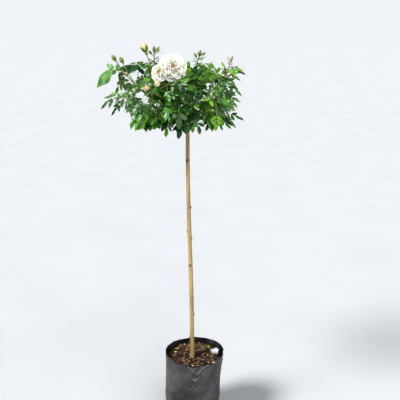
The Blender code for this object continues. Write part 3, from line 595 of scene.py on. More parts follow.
class Guard:
    """Keeps every shape laid out so far, and says whether a new one would touch any."""

    CELL = 0.05

    def __init__(self):
        self.cells = {}

    @staticmethod
    def reach(verts):
        middle = sum(verts, Vector()) / len(verts)
        return middle, max((vert - middle).length for vert in verts)

    def around(self, middle, radius):
        """The cells that a ball reaches into."""
        return product(*(
            range(math.floor((value - radius) / self.CELL),
                  math.floor((value + radius) / self.CELL) + 1)
            for value in middle
        ))

    def add(self, owner, *shapes):
        for shape in shapes:
            middle, radius = self.reach(shape[0])
            entry = (owner, middle, radius, BVHTree.FromPolygons(*shape))
            for cell in self.around(middle, radius):
                self.cells.setdefault(cell, []).append(entry)

    def blocked(self, shape, but=()):
        middle, radius = self.reach(shape[0])
        near = {
            id(entry): entry
            for cell in self.around(middle, radius) for entry in self.cells.get(cell, ())
        }
        tree = None
        for owner, other_middle, other_radius, other_tree in near.values():
            if owner in but or (middle - other_middle).length > radius + other_radius:
                continue
            tree = tree or BVHTree.FromPolygons(*shape)
            if tree.overlap(other_tree):
                return True
        return False


class Space:
    """The part of the crown that one mass keeps to: nearer to its own middle than to that
    of any other mass, and within its room of its own stem."""

    def __init__(self, mass, stem, middles):
        self.start, self.end, self.room = stem.points[0], stem.points[-1], mass.room
        self.middle = middles[mass.name]
        self.others = [middle for name, middle in middles.items() if name != mass.name]

    def holds(self, verts):
        run = self.end - self.start
        for vert in verts:
            if not CROWN_FOOT < vert.z < CROWN_TOP:
                return False
            t = min(max((vert - self.start).dot(run) / run.length_squared, 0.0), 1.0)
            if (vert - self.start - run * t).length > self.room:
                return False
            for other in self.others:
                across = (other - self.middle).normalized()
                if (vert - (self.middle + other) / 2).dot(across) > SPACE_SLACK:
                    return False
        return True


class Twig:
    """One shoot of a mass: its run of points, its radii, and what it ends in."""

    def __init__(self, name, points, start_radius, end):
        self.name, self.points, self.end = name, points, end
        self.length = length_of(points)
        self.radii = [
            start_radius + (TWIG_TIP_RADIUS - start_radius) * share
            for share in shares(len(points))]

    def shape(self, grow=0.0):
        return loft(self.points, [radius + grow for radius in self.radii], 3)

    def usable(self):
        """The stretch of it that bears leaves."""
        return self.length - BARE_END[self.end]


Bloom = namedtuple("Bloom", "kind point axis radius length")


def cluster_stalks(twig):
    """The stalks of a cluster's two side buds: the foot, the tip and the bud's axis of each."""
    point, axis = along(twig.points, 1.0)
    spread = FRONT.cross(axis).normalized()
    stalks = []
    for hand in (-1, 1) if twig.end == "cluster" else ():
        lean = (axis + spread * (CLUSTER_LEAN * hand)).normalized()
        low = point - axis * (CLUSTER_LOW + CLUSTER_STAGGER * hand)
        stalks.append((low, low + lean * CLUSTER_STALK, lean))
    return stalks


def blooms_of(twig):
    """Every flower and bud at a twig's end."""
    if twig.end == "tip":
        return []
    point, axis = along(twig.points, 1.0)
    if twig.end in FLOWERS:
        turn, rise, radius = FLOWERS[twig.end]
        return [Bloom(twig.end, point, polar(turn, rise), radius, 0.0)]
    lean, radius, length = BUDS[twig.end]
    side_buds = [Bloom(twig.end, tip, side, *CLUSTER_BUD) for _, tip, side in cluster_stalks(twig)]
    return [Bloom(twig.end, point, (axis + lean).normalized(), radius, length), *side_buds]


def room_of(bloom):
    """The room of a bud, or of a double flower: a scalloped rim round a raised heart."""
    point, axis, radius, length = bloom[1:]
    if bloom.kind in BUDS:
        return ball(point + axis * (length * BUD_SEAT), axis, radius, length, 6, 5)
    tiers = len(FLOWER_PROFILE) - 1

    def shaper(place):
        tier = round(math.acos(max(min(-place.z, 1.0), -1.0)) / math.pi * tiers)
        out, height, scallop = FLOWER_PROFILE[tier]
        turn = math.atan2(place.y, place.x)
        out *= 1 + scallop * math.cos(FLOWER_PETALS * turn)
        height += scallop * 0.5 * math.cos(FLOWER_PETALS * turn + 1.0)
        return at_turn(turn, out, height) * radius

    return sphere_shape(15, tiers, point, axis, shaper=shaper)


def guard_twig(guard, twig):
    """Keeps the room of a twig and of what it ends in."""
    guard.add(twig.name, twig.shape())
    guard.add(twig.name + "_end", *(room_of(bloom) for bloom in blooms_of(twig)))
    for foot, tip, _ in cluster_stalks(twig):
        guard.add(twig.name + "_end", loft([foot, tip], CLUSTER_STALK_RADII, 3))


LeafPlan = namedtuple("LeafPlan", "stalk blades")
BladePlan = namedtuple("BladePlan", "root axis face length")


def squared(heading, face):
    """The side of a leaf, and its face made square to its heading."""
    side = heading.cross(face).normalized()
    return side, side.cross(heading).normalized()


def leaf_plan(base, heading, face, size, pairs, hang=END_HANG):
    """The stalk and the leaflets of one leaf: an end leaflet, with or without a pair."""
    side, face = squared(heading, face)
    end = base + heading * (size * STALK_SHARE)
    blades = []
    for hand in (-1, 1) if pairs else ():
        axis = (heading * SIDE_AHEAD + side * hand - UP * SIDE_HANG).normalized()
        blades.append(BladePlan(end + side * (hand * ROOT_SPLIT), axis, face, size * SIDE_SHARE))
    if pairs:
        end = end + heading * (size * END_STALK_SHARE)
    tip_axis = (heading - UP * hang).normalized()
    blades.append(BladePlan(end - heading * END_SINK, tip_axis, face, size))
    return LeafPlan((base, end), blades)


def stalk_shape(plan, grow=0.0):
    radii = (STALK_RADIUS + grow, STALK_RADIUS * STALK_TAPER + grow)
    return loft(plan.stalk, radii, 3, plan.blades[0].face)


def blade_shape(plan, grow, width):
    return blade(*plan, plan.length * width, grow)


def fitting_leaf(plan, space, guard, but, grow=CLEARANCE, width=BLADE_WIDTH):
    """The leaf without the leaflets that touch something or, in a space, leave it."""
    stalk = stalk_shape(plan, grow)
    if guard.blocked(stalk, but) or (space and not space.holds(stalk[0])):
        return None
    kept = []
    for leaflet in plan.blades:
        shape = blade_shape(leaflet, grow, width)
        if not guard.blocked(shape) and (space is None or space.holds(shape[0])):
            kept.append(leaflet)
    return LeafPlan(plan.stalk, kept)


def place_leaf(leaf, guard, width=BLADE_WIDTH):
    guard.add("stalk", stalk_shape(leaf))
    guard.add("blade", *(blade_shape(leaflet, 0.0, width) for leaflet in leaf.blades))


def leaf_face(point, tilt=0.0):
    """The way a leaf's upper side looks: up, outward from the stem, and to the front."""
    outward = Vector((point.x - UNION.x, point.y - UNION.y, 0.0)).normalized()
    return (UP * (FACE_UP - tilt) + outward * (FACE_OUT + tilt) + FRONT * FACE_FRONT).normalized()


def droop(point):
    """How far a leaf hangs: little on top of the crown, and more the lower it grows."""
    return min(max((CROWN_TOP - point.z) / (CROWN_TOP - UNION.z), 0.0), 1.0)


def leafy_nodes(twig):
    """Fractions along a twig where leaves stand."""
    count = max(int(twig.usable() / INTERNODE), 1)
    return [(index + 0.75) / (count + 0.25) * twig.usable() / twig.length for index in range(count)]


def square_to(heading):
    """Two directions square to a heading and to each other."""
    side = heading.cross(UP if abs(heading.z) < 0.9 else SIDEWAYS).normalized()
    return side, heading.cross(side)


def tries(turn, square):
    """The next few turns to try, each a golden turn on, with the direction of each."""
    for _ in range(TRIES):
        turn += GOLDEN_TURN
        yield turn, about(square, turn)


def grow_leaves(twig, mass, space, guard, draw):
    """Leaves up one twig, each a golden turn on from the last. Each takes the direction, out
    of a few, in which most of its leaflets fit."""
    leaves = []
    turn = draw.uniform(0, TAU)
    for node in leafy_nodes(twig):
        point, heading = along(twig.points, node)
        turn += GOLDEN_TURN
        size = mass.leaf * draw.uniform(*LEAF_SIZES)
        square = square_to(heading)
        best = None
        for attempt in range(TRIES):
            away = about(square, turn + attempt * RETRY_TURN)
            hang = droop(point) * draw.uniform(*LEAF_HANGS)
            aim = (heading * LEAF_AHEAD + away * LEAF_OUT - UP * hang).normalized()
            face = leaf_face(point + aim * FACE_AHEAD, draw.uniform(*LEAF_TILTS))
            fitted = fitting_leaf(leaf_plan(point, aim, face, size, 1), space, guard, (twig.name,))
            if fitted and (best is None or len(fitted.blades) > len(best.blades)):
                best = fitted
            if best and len(best.blades) == 3:
                break
        if best and len(best.blades) > 1:
            place_leaf(best, guard)
            leaves.append(best)
    return leaves


def grow_sprays(stem, mass, space, guard, draw):
    """Seeded side twigs of one stem."""
    twigs = []
    turn = draw.uniform(0, TAU)
    for number in range(mass.sprays):
        node = SPRAYS_FROM + (SPRAYS_TO - SPRAYS_FROM) * number / (mass.sprays - 1)
        point, heading = along(stem.points, node)
        square = square_to(heading)
        length = mass.room * draw.uniform(*SPRAY_REACH)
        for attempt, (turn, away) in enumerate(tries(turn, square)):
            aim = (heading * SPRAY_AHEAD + away + UP * SPRAY_RISE).normalized()
            tip = point + aim * (length * (1 - SPRAY_SHORTER * attempt))
            points = sweep(point, (heading + aim).normalized(), tip, TWIG_STEPS)
            twig = Twig(f"{stem.name}_{number}", points, STEM_TWIG_RADIUS * SPRAY_SLENDER, "tip")
            grown = twig.shape(CLEARANCE)
            if space.holds(grown[0]) and not guard.blocked(grown, (stem.name,)):
                guard.add(twig.name, twig.shape())
                twigs.append(twig)
                break
    return twigs


def collar(mass):
    """Where on the union a cane is set, the steeper ones higher up, and its heading."""
    turn, rise, _ = mass.cane
    seat = UNION + UP * (SEAT_SPREAD * (rise - 45)) + polar(turn, 0, SEAT_OFFSET)
    return seat, polar(turn, min(rise + CANE_LIFT, CANE_STEEPEST))


def cane_path(mass):
    """A cane from its collar on the union to the start of its mass."""
    seat, heading = collar(mass)
    start = seat + heading * (COLLAR_REACH + GAP)
    return sweep(start, heading, UNION + polar(*mass.cane), CANE_STEPS)


def new_guard(canes):
    guard = Guard()
    guard.add("union", ball(UNION, UP, UNION_RADIUS, UNION_HALF_HEIGHT * 2, 12, 8))
    guard.add("trunk", loft([STEM_FOOT, UNION], [STEM_FOOT_RADIUS, STEM_TOP_RADIUS], 8))
    for path in canes.values():
        guard.add("cane", loft(path, [CANE_RADIUS] * (CANE_STEPS + 1), 8))
    return guard


def stem_of(mass, cane):
    """A mass's own stem, which goes on from the end of its cane."""
    tip, heading = along(cane, 1.0)
    points = sweep(tip + heading * GAP, heading, UNION + polar(*mass.leader), TWIG_STEPS)
    return Twig(mass.name, points, STEM_TWIG_RADIUS, mass.end)


def branches_of(mass, stem):
    """The further twigs of a mass that carry a flower or bud."""
    twigs = []
    for number, branch in enumerate(row for row in BRANCHES if row.mass == mass.name):
        point, heading = along(stem.points, branch.leaves_at)
        tip = UNION + polar(*branch.tip)
        points = sweep(point, ((tip - point).normalized() + heading).normalized(), tip, TWIG_STEPS)
        radius = STEM_TWIG_RADIUS * BRANCH_SLENDER
        twigs.append(Twig(f"{mass.name}_branch_{number}", points, radius, branch.end))
    return twigs


def lay_out_crown():
    """Every twig, leaf and flower of every mass, with nothing touching."""
    canes = {mass.name: cane_path(mass) for mass in MASSES}
    guard = new_guard(canes)
    stems = {mass.name: stem_of(mass, canes[mass.name]) for mass in MASSES}
    middles = {name: (stem.points[0] + stem.points[-1] * 2) / 3 for name, stem in stems.items()}
    spaces = {mass.name: Space(mass, stems[mass.name], middles) for mass in MASSES}
    crown = {}
    for mass in MASSES:
        stem = stems[mass.name]
        crown[mass.name] = {"twigs": [stem, *branches_of(mass, stem)], "leaves": []}
        for twig in crown[mass.name]["twigs"]:
            guard_twig(guard, twig)
    for leaf in REACHING_LEAVES:
        point = along(stems[leaf.mass].points, leaf.at)[0]
        aim = polar(leaf.turn, leaf.rise)
        face = leaf_face(point + aim * FACE_AHEAD)
        plan = leaf_plan(point, aim, face, leaf.size, leaf.pairs, leaf.hang)
        place_leaf(plan, guard)
        crown[leaf.mass]["leaves"].append(plan)
    for mass in MASSES:
        draw = random.Random(mass.seed)
        parts = crown[mass.name]
        parts["twigs"] += grow_sprays(stems[mass.name], mass, spaces[mass.name], guard, draw)
        for twig in parts["twigs"]:
            parts["leaves"] += grow_leaves(twig, mass, spaces[mass.name], guard, draw)
    return canes, crown, spaces


# ---------------------------------------------------------------- leaves

LEAFLET_WIDTH = 0.53            # of its length
STALK_BASE = 0.0011
STALK_END = 0.0006
STALK_BOW = 0.03                # how far a stalk's middle rises, of its length
CROWDING = 0.72                 # share of a leaflet's width that no other leaflet may cross
# For each number of pairs, where the pairs stand and how long they and the end leaflet are,
# all in shares of the whole leaf's reach.
LEAF_FORMS = {
    0: ((), (), 0.69),
    1: ((0.38,), (0.38,), 0.46),
    2: ((0.24, 0.45), (0.30, 0.36), 0.41),
    3: ((0.20, 0.36, 0.52), (0.24, 0.29, 0.33), 0.37),
}
TONES = ("leaf_deep", "leaf_mid", "leaf_blue", "leaf_fresh", "leaf_lime", "leaf_bronze")
# How each mass is dressed: how its leaves share out those tones, the width of its leaflets,
# of the usual one, and how thickly its twigs bear young shoots.
Dress = namedtuple("Dress", "shares slim young")
DRESSES = {
    "bloom": Dress((22, 45, 20, 13, 0, 0), 1.0, 1.0),
    "front_left": Dress((42, 36, 15, 5, 2, 0), 1.0, 1.0),
    "front_low": Dress((44, 34, 18, 4, 0, 0), 1.0, 1.0),
    "front_right": Dress((30, 40, 20, 10, 0, 0), 0.88, 1.0),
    "left_long": Dress((10, 46, 44, 0, 0, 0), 1.0, 0.3),
    "left_low": Dress((30, 38, 27, 5, 0, 0), 0.82, 0.45),
    "top_left": Dress((12, 42, 24, 20, 2, 0), 1.0, 0.8),
    "top_right": Dress((16, 44, 20, 20, 0, 0), 1.0, 0.6),
    "right_long": Dress((8, 36, 26, 25, 1, 4), 0.76, 0.3),
    "right_low": Dress((20, 38, 26, 15, 1, 0), 0.76, 0.25),
    "back_left": Dress((32, 38, 20, 10, 0, 0), 1.0, 0.45),
    "back": Dress((30, 38, 20, 12, 0, 0), 1.0, 0.45),
    "back_right": Dress((26, 38, 22, 13, 1, 0), 0.85, 0.25),
}
YOUNG_SHARES = (8, 38, 18, 32, 4, 0)
# Leaves below LOW_LEAVES draw these paler tones: painted light and sheen on the lower crown, which
# the lamps leave in shade.
LOW_SHARES = (8, 30, 36, 26, 0, 0)
LOW_LEAVES = 1.205              # leaves that stand below this height are paler ones
LARGE_LEAFLET = 0.045           # a leaf with a longer leaflet than this takes the large one's tone
LARGE_TONE = "leaf_mid"
# How often one leaflet of a leaf is a tone darker or lighter than the rest.
ODD_TONE = 0.3
# Ranges of a leaflet's fold, dome, curl, wave and twist.
LEAFLET_SHAPES = ((0.08, 0.30), (0.9, 1.5), (0.02, 0.22), (0.005, 0.030), (-0.18, 0.18))
LEAFLET_COLUMNS = (-1, -0.5, 0, 0.5, 1)
LEAFLET_WAVES = 1.6             # along its edge
LEAFLET_EDGE, LEAFLET_RIB = 0.0008, 0.016       # how thick it is there
TOOTH_OUT, TOOTH_AHEAD = 0.05, 0.45     # of its half width, and of a row
FURROWS = (-0.004, 0.006)       # how far its blade dips between its veins and rises on them
RIB_DIP = 0.006
FINE_WIDTH = LEAFLET_WIDTH * CROWDING


def leaflet_outline(t):
    """A leaflet's half width at a share of its length, of the widest."""
    return max(math.sin(math.pi * min(t, 1.0) ** 0.84), 0.0) ** 0.80


def leaflet_form(draw, teeth):
    """A toothed leaflet of unit length along +X with its upper side to +Z: the points and
    faces of its upper side and of its underside."""
    fold, dome, curl, wave, twist = (draw.uniform(*limits) for limits in LEAFLET_SHAPES)
    phase = draw.uniform(0, TAU)
    rows = 2 * teeth + 1
    upper, lower = [], []
    for row, t in enumerate(shares(rows)):
        tooth = row % 2
        half = LEAFLET_WIDTH / 2 * leaflet_outline(t)
        turn = twist * (t - 0.3)
        for across in LEAFLET_COLUMNS:
            edge = abs(across) == 1
            out = across * half * ((1 + TOOTH_OUT if tooth else 1 - TOOTH_OUT) if edge else 1.0)
            rise = fold * abs(out) - dome * out * out - curl * t * t
            rise += wave * math.sin(TAU * LEAFLET_WAVES * t + phase + across) * abs(across)
            if abs(across) == 0.5:
                rise += FURROWS[tooth]
            if across == 0:
                rise -= RIB_DIP * (1 - t)
            ahead = min(t + (TOOTH_AHEAD / rows if tooth and edge else 0.0), 1.0)
            side = out * math.cos(turn) - rise * math.sin(turn)
            height = rise * math.cos(turn) + out * math.sin(turn)
            upper.append((ahead, side, height))
            if edge or across == 0:
                depth = LEAFLET_EDGE if edge else LEAFLET_RIB * (1.1 - t)
                lower.append((ahead, side, height - depth))
    return np.array(upper), grid_faces(rows, 5), np.array(lower), grid_faces(rows, 3)[:, ::-1]


def add_leaflet(piece, form, plan, material, slim=1.0, under="leaf_under"):
    side = plan.axis.cross(plan.face).normalized()
    turn = (np.array((plan.axis, side * slim, side.cross(plan.axis))) * plan.length).T
    upper, upper_faces, lower, lower_faces = form
    piece.add_turned((upper, (upper_faces, material)), turn, plan.root)
    piece.add_turned((lower, (lower_faces, under)), turn, plan.root)


def fine_leaf(base, heading, face, reach, pairs, draw, tip_axis=None):
    """A leaf of the given reach: its stalk, its pairs of leaflets and the one at its end."""
    side, face = squared(heading, face)
    places, sizes, last = LEAF_FORMS[pairs]
    blades = []
    for place, size in zip(places, sizes):
        root = base + heading * (reach * place)
        for hand in (-1, 1):
            axis = heading * draw.uniform(0.45, 0.90) + side * hand - UP * draw.uniform(0.0, 0.55)
            lean = face + side * (hand * draw.uniform(-0.55, 0.30))
            lean = lean + heading * draw.uniform(-0.4, 0.4)
            length = reach * size * draw.uniform(0.90, 1.06)
            foot = root + side * (hand * STALK_END)
            blades.append(BladePlan(foot, axis.normalized(), lean.normalized(), length))
    end = base + heading * (reach * (1 - last))
    tip_axis = tip_axis or (heading - UP * END_HANG).normalized()
    blades.append(BladePlan(end, tip_axis, face, reach * last))
    return LeafPlan((base, end), blades)


def keep_fine_leaf(plan, space, guard, carrier, anyway=False):
    """Keeps what fits of a fine leaf, which is nothing unless its end leaflet does."""
    fitted = fitting_leaf(plan, space, guard, (carrier, "blade"), 0.0, FINE_WIDTH)
    if not fitted or plan.blades[-1] not in fitted.blades:
        fitted = plan if anyway else None
    if fitted:
        place_leaf(fitted, guard, FINE_WIDTH)
    return fitted


def refine(leaf, draw):
    """A leaf of the source, of the same reach, direction and face, with finer leaflets."""
    base, end = leaf.stalk
    heading = (end - base).normalized()
    tip = leaf.blades[-1]
    single = len(leaf.blades) == 1 and (end - base).length < tip.length * 0.5
    pairs = 0 if single else draw.choice(FINE_PAIRS)
    reach = (end - base).length + tip.length
    return fine_leaf(base, heading, tip.face, reach, pairs, draw, tip.axis)


FINE_SEED = 500                 # set on from the seeds of the source
FINE_PAIRS = (1, 2, 2, 2, 2, 3)         # pairs of leaflets that a leaf draws from
YOUNG_PAIRS = (1, 2, 2)
DRESSING_PAIRS = (1, 2)
YOUNG_INTERNODE = 0.013
YOUNG_REACH = (0.055, 0.090)
YOUNG_TWIG = (0.024, 0.050)
YOUNG_TWIG_RADIUS = 0.0012
YOUNG_NODES = (0.30, 0.64, 0.98)        # where on a young shoot its leaves stand
FOOT_SHARE = 0.15               # of the young shoots, at the crown's foot
THICKENS_OVER = 0.13            # the height over which they reach their full number
FLOWER_ROOM = 0.085             # no leaf stands this near before a flower's face
# Small leaves up the last stretch of a twig, by what it ends in: how many, and their tone.
DRESSING = {"cluster": (13, "leaf_fresh"), "spear": (10, "leaf_bronze")}
DRESSED_FROM, DRESSED_TO = 0.075, 0.002         # down from the twig's tip
DRESSING_REACH = (0.034, 0.056)
DRESSING_TAPER = 0.45           # how much shorter they are at the tip


def dress(twig, guard, draw):
    leaves = []
    count, tone = DRESSING[twig.end]
    turn = draw.uniform(0, TAU)
    for number in range(count):
        down = DRESSED_FROM + (DRESSED_TO - DRESSED_FROM) * number / (count - 1)
        point, heading = along(twig.points, 1 - down / twig.length)
        side = heading.cross(FRONT).normalized()
        square = (side, heading.cross(side))
        reach = draw.uniform(*DRESSING_REACH) * (1.0 - DRESSING_TAPER * number / count)
        for turn, away in tries(turn, square):
            aim = (heading * draw.uniform(0.5, 0.9) + away).normalized()
            face = (heading - aim * 0.3 + away * draw.uniform(-0.3, 0.3)).normalized()
            plan = fine_leaf(point, aim, face, reach, draw.choice(DRESSING_PAIRS), draw)
            fitted = keep_fine_leaf(plan, None, guard, twig.name)
            if fitted:
                leaves.append((tone, fitted))
                break
    return leaves


def grow_young(twig, young, space, guard, draw):
    """Short side shoots between a twig's leaves, each with one to three smaller leaves."""
    shoots, leaves = [], []
    count = max(int(twig.usable() / YOUNG_INTERNODE * young), 1)
    turn = draw.uniform(0, TAU)
    for number in range(count):
        point, heading = along(twig.points, (number + 0.3) / count * twig.usable() / twig.length)
        if draw.random() > FOOT_SHARE + (point.z - CROWN_FOOT) / THICKENS_OVER:
            continue
        square = square_to(heading)
        length = draw.uniform(*YOUNG_TWIG)
        for turn, away in tries(turn, square):
            aim = (heading * 0.6 + away + UP * 0.2).normalized()
            tip = point + aim * (length + STRAIGHT)
            points = sweep(point, (heading * 0.5 + aim).normalized(), tip, 3)
            shoot = Twig(f"{twig.name}_young_{number}", points, YOUNG_TWIG_RADIUS, "tip")
            if space.holds(shoot.shape()[0]) and not guard.blocked(shoot.shape(), (twig.name,)):
                guard.add(shoot.name, shoot.shape())
                shoots.append(shoot)
                leaves += grow_young_leaves(shoot, space, guard, draw)
                break
    return shoots, leaves


def grow_young_leaves(shoot, space, guard, draw):
    leaves = []
    turn = draw.uniform(0, TAU)
    for node in YOUNG_NODES:
        point, heading = along(shoot.points, node)
        square = square_to(heading)
        reach = draw.uniform(*YOUNG_REACH)
        for turn, away in tries(turn, square):
            hang = droop(point) * draw.uniform(0.4, 1.0)
            aim = (heading * 0.5 + away * 0.8 - UP * hang).normalized()
            face = leaf_face(point + aim * 0.04, draw.uniform(-0.35, 0.35))
            plan = fine_leaf(point, aim, face, reach, draw.choice(YOUNG_PAIRS), draw)
            fitted = keep_fine_leaf(plan, space, guard, shoot.name)
            if fitted:
                leaves.append(fitted)
                break
    return leaves


def refine_crown(canes, crown, spaces):
    """Carries the crown on to its finest growth, keeping every piece clear of the rest."""
    guard = new_guard(canes)
    for twig in (twig for parts in crown.values() for twig in parts["twigs"]):
        guard_twig(guard, twig)
        for bloom in blooms_of(twig):
            if bloom.kind in FLOWERS:
                for aim in (bloom.axis, (bloom.axis + FRONT).normalized(), FRONT):
                    room = bloom.point + aim * (FLOWER_ROOM / 2)
                    guard.add("room", ball(room, aim, bloom.radius * 0.9, FLOWER_ROOM, 12, 8))
    rows = [(mass.name, crown[mass.name], random.Random(mass.seed + FINE_SEED)) for mass in MASSES]
    for _, parts, draw in rows:
        parts["fine"] = [
            keep_fine_leaf(refine(leaf, draw), None, guard, None, anyway=True)
            for leaf in parts["leaves"]
        ]
    for name, parts, draw in rows:
        parts["shoots"], parts["young"] = [], []
        for twig in parts["twigs"]:
            shoots, leaves = grow_young(twig, DRESSES[name].young, spaces[name], guard, draw)
            parts["shoots"] += shoots
            parts["young"] += leaves
    for _, parts, draw in rows:
        parts["dressing"] = []
        for twig in parts["twigs"]:
            if twig.end in DRESSING:
                parts["dressing"] += dress(twig, guard, draw)


def add_leaf(leaves, stalks, plan, shapes, tone, slim, draw):
    for leaflet in plan.blades:
        near = TONES[max(TONES.index(tone) - draw.choice((-1, 1)), 0) % 4]
        odd = tone in TONES[:4] and draw.random() < ODD_TONE
        add_leaflet(leaves, draw.choice(shapes), leaflet, near if odd else tone, slim)
    base, end = plan.stalk
    lift = UP * (STALK_BOW * (end - base).length)
    run = smooth_run([base, (base + end) / 2 + lift, end], 5)
    flushed = tone in ("leaf_lime", "leaf_bronze")
    stalks.add(*limb(
        run, np.linspace(STALK_BASE, STALK_END, 5), 5, "twig_red" if flushed else "twig"))


def make_leaves(mass, parts, forms, small_forms, draw):
    leaves = Piece("leaves_" + mass.name, "foliage", "foliage_" + mass.name)
    stalks = Piece("leafstalks_" + mass.name, "foliage", "foliage_" + mass.name)
    own, slim, _ = DRESSES[mass.name]
    young = [(a + b) / 2 for a, b in zip(YOUNG_SHARES, own)]
    for plans, shapes, high, low in (
            (parts["fine"], forms, own, LOW_SHARES), (parts["young"], small_forms, young, young)):
        for plan in plans:
            tone = draw.choices(TONES, low if plan.stalk[0].z < LOW_LEAVES else high)[0]
            if max(leaflet.length for leaflet in plan.blades) > LARGE_LEAFLET:
                tone = LARGE_TONE
            add_leaf(leaves, stalks, plan, shapes, tone, slim, draw)
    for tone, plan in parts["dressing"]:
        add_leaf(leaves, stalks, plan, small_forms, tone, slim, draw)
    leaves.make()
    stalks.make()


# ---------------------------------------------------------------- twigs, canes and prickles

TWIG_RING = 0.006
TWIG_SWELLING = 0.12            # of its radius, at every fourth ring
FLUSHED_TWIGS, FLUSHED_SHOOTS, FLUSHED_CANES = 0.30, 0.35, 0.45
SIDE_BUD_STALK = (0.0012, 0.0009)
TWIG_SIDES, SHOOT_SIDES, CANE_SIDES = 9, 6, 14
TWIG_TAPER, SHOOT_TAPER = 0.8, 0.5      # further than the source's twigs do
SHORT_TWIG = 0.05               # a twig no longer than this has no prickles
CANE_RINGS = 44
SMOOTH_RINGS = 8                # a cane's first rings, which have no prickles
CANE_FLARE, FLARE_SHARE = 0.0019, 0.32
NODE, KNOBS = 0.0004, 0.00035   # how far a cane's nodes and its knobs stand out
# A prickle's rings: its height, length, width and hook, in shares of its size.
PRICKLE_RINGS = ((0.00, 0.52, 0.26, 0.0), (0.35, 0.28, 0.15, 0.08), (0.72, 0.12, 0.08, 0.26))
PRICKLE_SIDES = 6
PRICKLE_SIZES = (0.0032, 0.0052)
CANE_PRICKLES, TWIG_PRICKLES = 0.016, 0.022     # from one prickle to the next


def add_twig(piece, twig, sides, material, taper):
    count = max(int(twig.length / TWIG_RING), 5)
    radii = np.linspace(twig.radii[0], twig.radii[-1] * taper, count)

    def swelling(ring, turn):
        share = TWIG_SWELLING if ring % 4 == 2 else 0.0
        return radii[ring] * share * (1 + 0.5 * math.sin(turn + ring))

    piece.add(*limb(smooth_run(twig.points, count), radii, sides, material, swelling))


def add_prickle(piece, point, out, down, size):
    """A hooked prickle with a long foot."""
    side = out.cross(down).normalized()
    verts = []
    for height, long, wide, bend in PRICKLE_RINGS:
        for turn in turns(PRICKLE_SIDES):
            verts.append(point + (out * height + down * (bend + long * math.cos(turn))
                                  + side * (wide * math.sin(turn))) * size)
    last = len(verts)
    verts.append(point + (out * 1.0 + down * 0.55) * size)
    walls = grid_faces(len(PRICKLE_RINGS), PRICKLE_SIDES, closed=True)
    tip = fan(last - PRICKLE_SIDES, PRICKLE_SIDES, last)
    piece.add(verts, (walls, "prickle"), (tip, "prickle"))


def sprinkle_prickles(piece, points, radii, pitch, draw):
    length = length_of(points)
    turn = draw.uniform(0, TAU)
    for number in range(int(length / pitch)):
        at = (number + draw.uniform(0.1, 0.9)) * pitch / length
        point, heading = along(points, min(at, 0.98))
        radius = radii[0] + (radii[-1] - radii[0]) * at
        side = heading.cross(Vector((0.3, 0.5, 0.8))).normalized()
        turn += GOLDEN_TURN
        out = about((side, heading.cross(side)), turn)
        size = draw.uniform(*PRICKLE_SIZES)
        add_prickle(piece, point + out * (radius * 0.85), out, -heading, size)


def make_canes(canes, crown, draw):
    piece = Piece("canes", "cane_bark", *("cane_" + mass.name for mass in MASSES))
    prickles = Piece("prickles", "cane_bark")
    for mass in MASSES:
        seat, heading = collar(mass)
        path = canes[mass.name]
        twigs = crown[mass.name]["twigs"]
        inside = twigs[0].points[1]
        foot = seat + heading * (COLLAR_REACH * 0.6)
        run = smooth_run([seat, foot, *path[::2], path[-1], inside], CANE_RINGS)
        radii = [
            CANE_RADIUS * (1 - share) + CANE_TIP_RADIUS * share
            + CANE_FLARE * max(1 - share / FLARE_SHARE, 0.0) ** 1.5
            for share in shares(CANE_RINGS)
        ]
        seed = Vector((mass.seed, 0.0, 0.0))

        def knobs(ring, turn):
            node = NODE if ring % 11 == 7 else 0.0
            return noise.noise((at_turn(turn, 1.0, ring * 0.35) + seed) * 1.4) * KNOBS + node

        flushed = draw.random() < FLUSHED_CANES
        piece.add(*limb(run, radii, CANE_SIDES, "cane_red" if flushed else "cane", knobs))
        sprinkle_prickles(prickles, run[SMOOTH_RINGS:], radii[SMOOTH_RINGS:], CANE_PRICKLES, draw)
        for twig in twigs:
            if twig.length > SHORT_TWIG:
                sprinkle_prickles(prickles, twig.points[1:], twig.radii[1:], TWIG_PRICKLES, draw)
    piece.make()
    prickles.make(sharp_degrees=60)


def make_twigs(mass, parts, draw):
    piece = Piece("twigs_" + mass.name, "foliage", "foliage_" + mass.name)
    for twig in parts["twigs"]:
        young = twig.end in ("spear", "cluster") or mass.name == "right_long"
        flushed = young or draw.random() < FLUSHED_TWIGS
        add_twig(piece, twig, TWIG_SIDES, "twig_red" if flushed else "twig", TWIG_TAPER)
        for point, tip, _ in cluster_stalks(twig):
            radii = np.linspace(*SIDE_BUD_STALK, 4)
            piece.add(*limb(smooth_run([point, tip], 4), radii, 6, "twig"))
    for shoot in parts["shoots"]:
        flushed = draw.random() < FLUSHED_SHOOTS
        add_twig(piece, shoot, SHOOT_SIDES, "twig_red" if flushed else "twig", SHOOT_TAPER)
    piece.make()


# ---------------------------------------------------------------- flowers and buds

PETAL_GRID = (13, 13)
PETAL_TWIST = 0.24
# A double flower's whorls from outside in: petals, length and width in shares of its
# radius, how far from the flower's axis they lean at their foot and at their rim, how much
# their edges curl in, and their tone, where the outer whorls' darker tone is painted shade.
WHORLS = {
    "bloom": (
        (6, 1.04, 1.20, 66, 106, -0.04, "petal_rim"), (6, 0.97, 1.12, 58, 90, 0.02, "petal_rim"),
        (6, 0.88, 1.04, 48, 70, 0.10, "petal"), (6, 0.77, 0.88, 36, 46, 0.18, "petal"),
        (6, 0.66, 0.68, 24, 20, 0.28, "petal"), (6, 0.56, 0.48, 12, -8, 0.38, "petal_cream"),
    ),
    "half_bloom": (
        (5, 1.04, 1.26, 56, 92, 0.04, "petal_rim"), (6, 0.97, 1.12, 44, 66, 0.14, "petal"),
        (6, 0.88, 0.96, 32, 38, 0.22, "petal"), (6, 0.80, 0.76, 20, 10, 0.32, "petal_cream"),
        (6, 0.70, 0.54, 10, -14, 0.42, "petal_cream"),
    ),
}
STAMENS = 30
STAMEN_RADII = (0.00035, 0.0003, 0.00025)
ANTHER = (0.0008, 0.0024)       # radius and length
SEPALS = 5
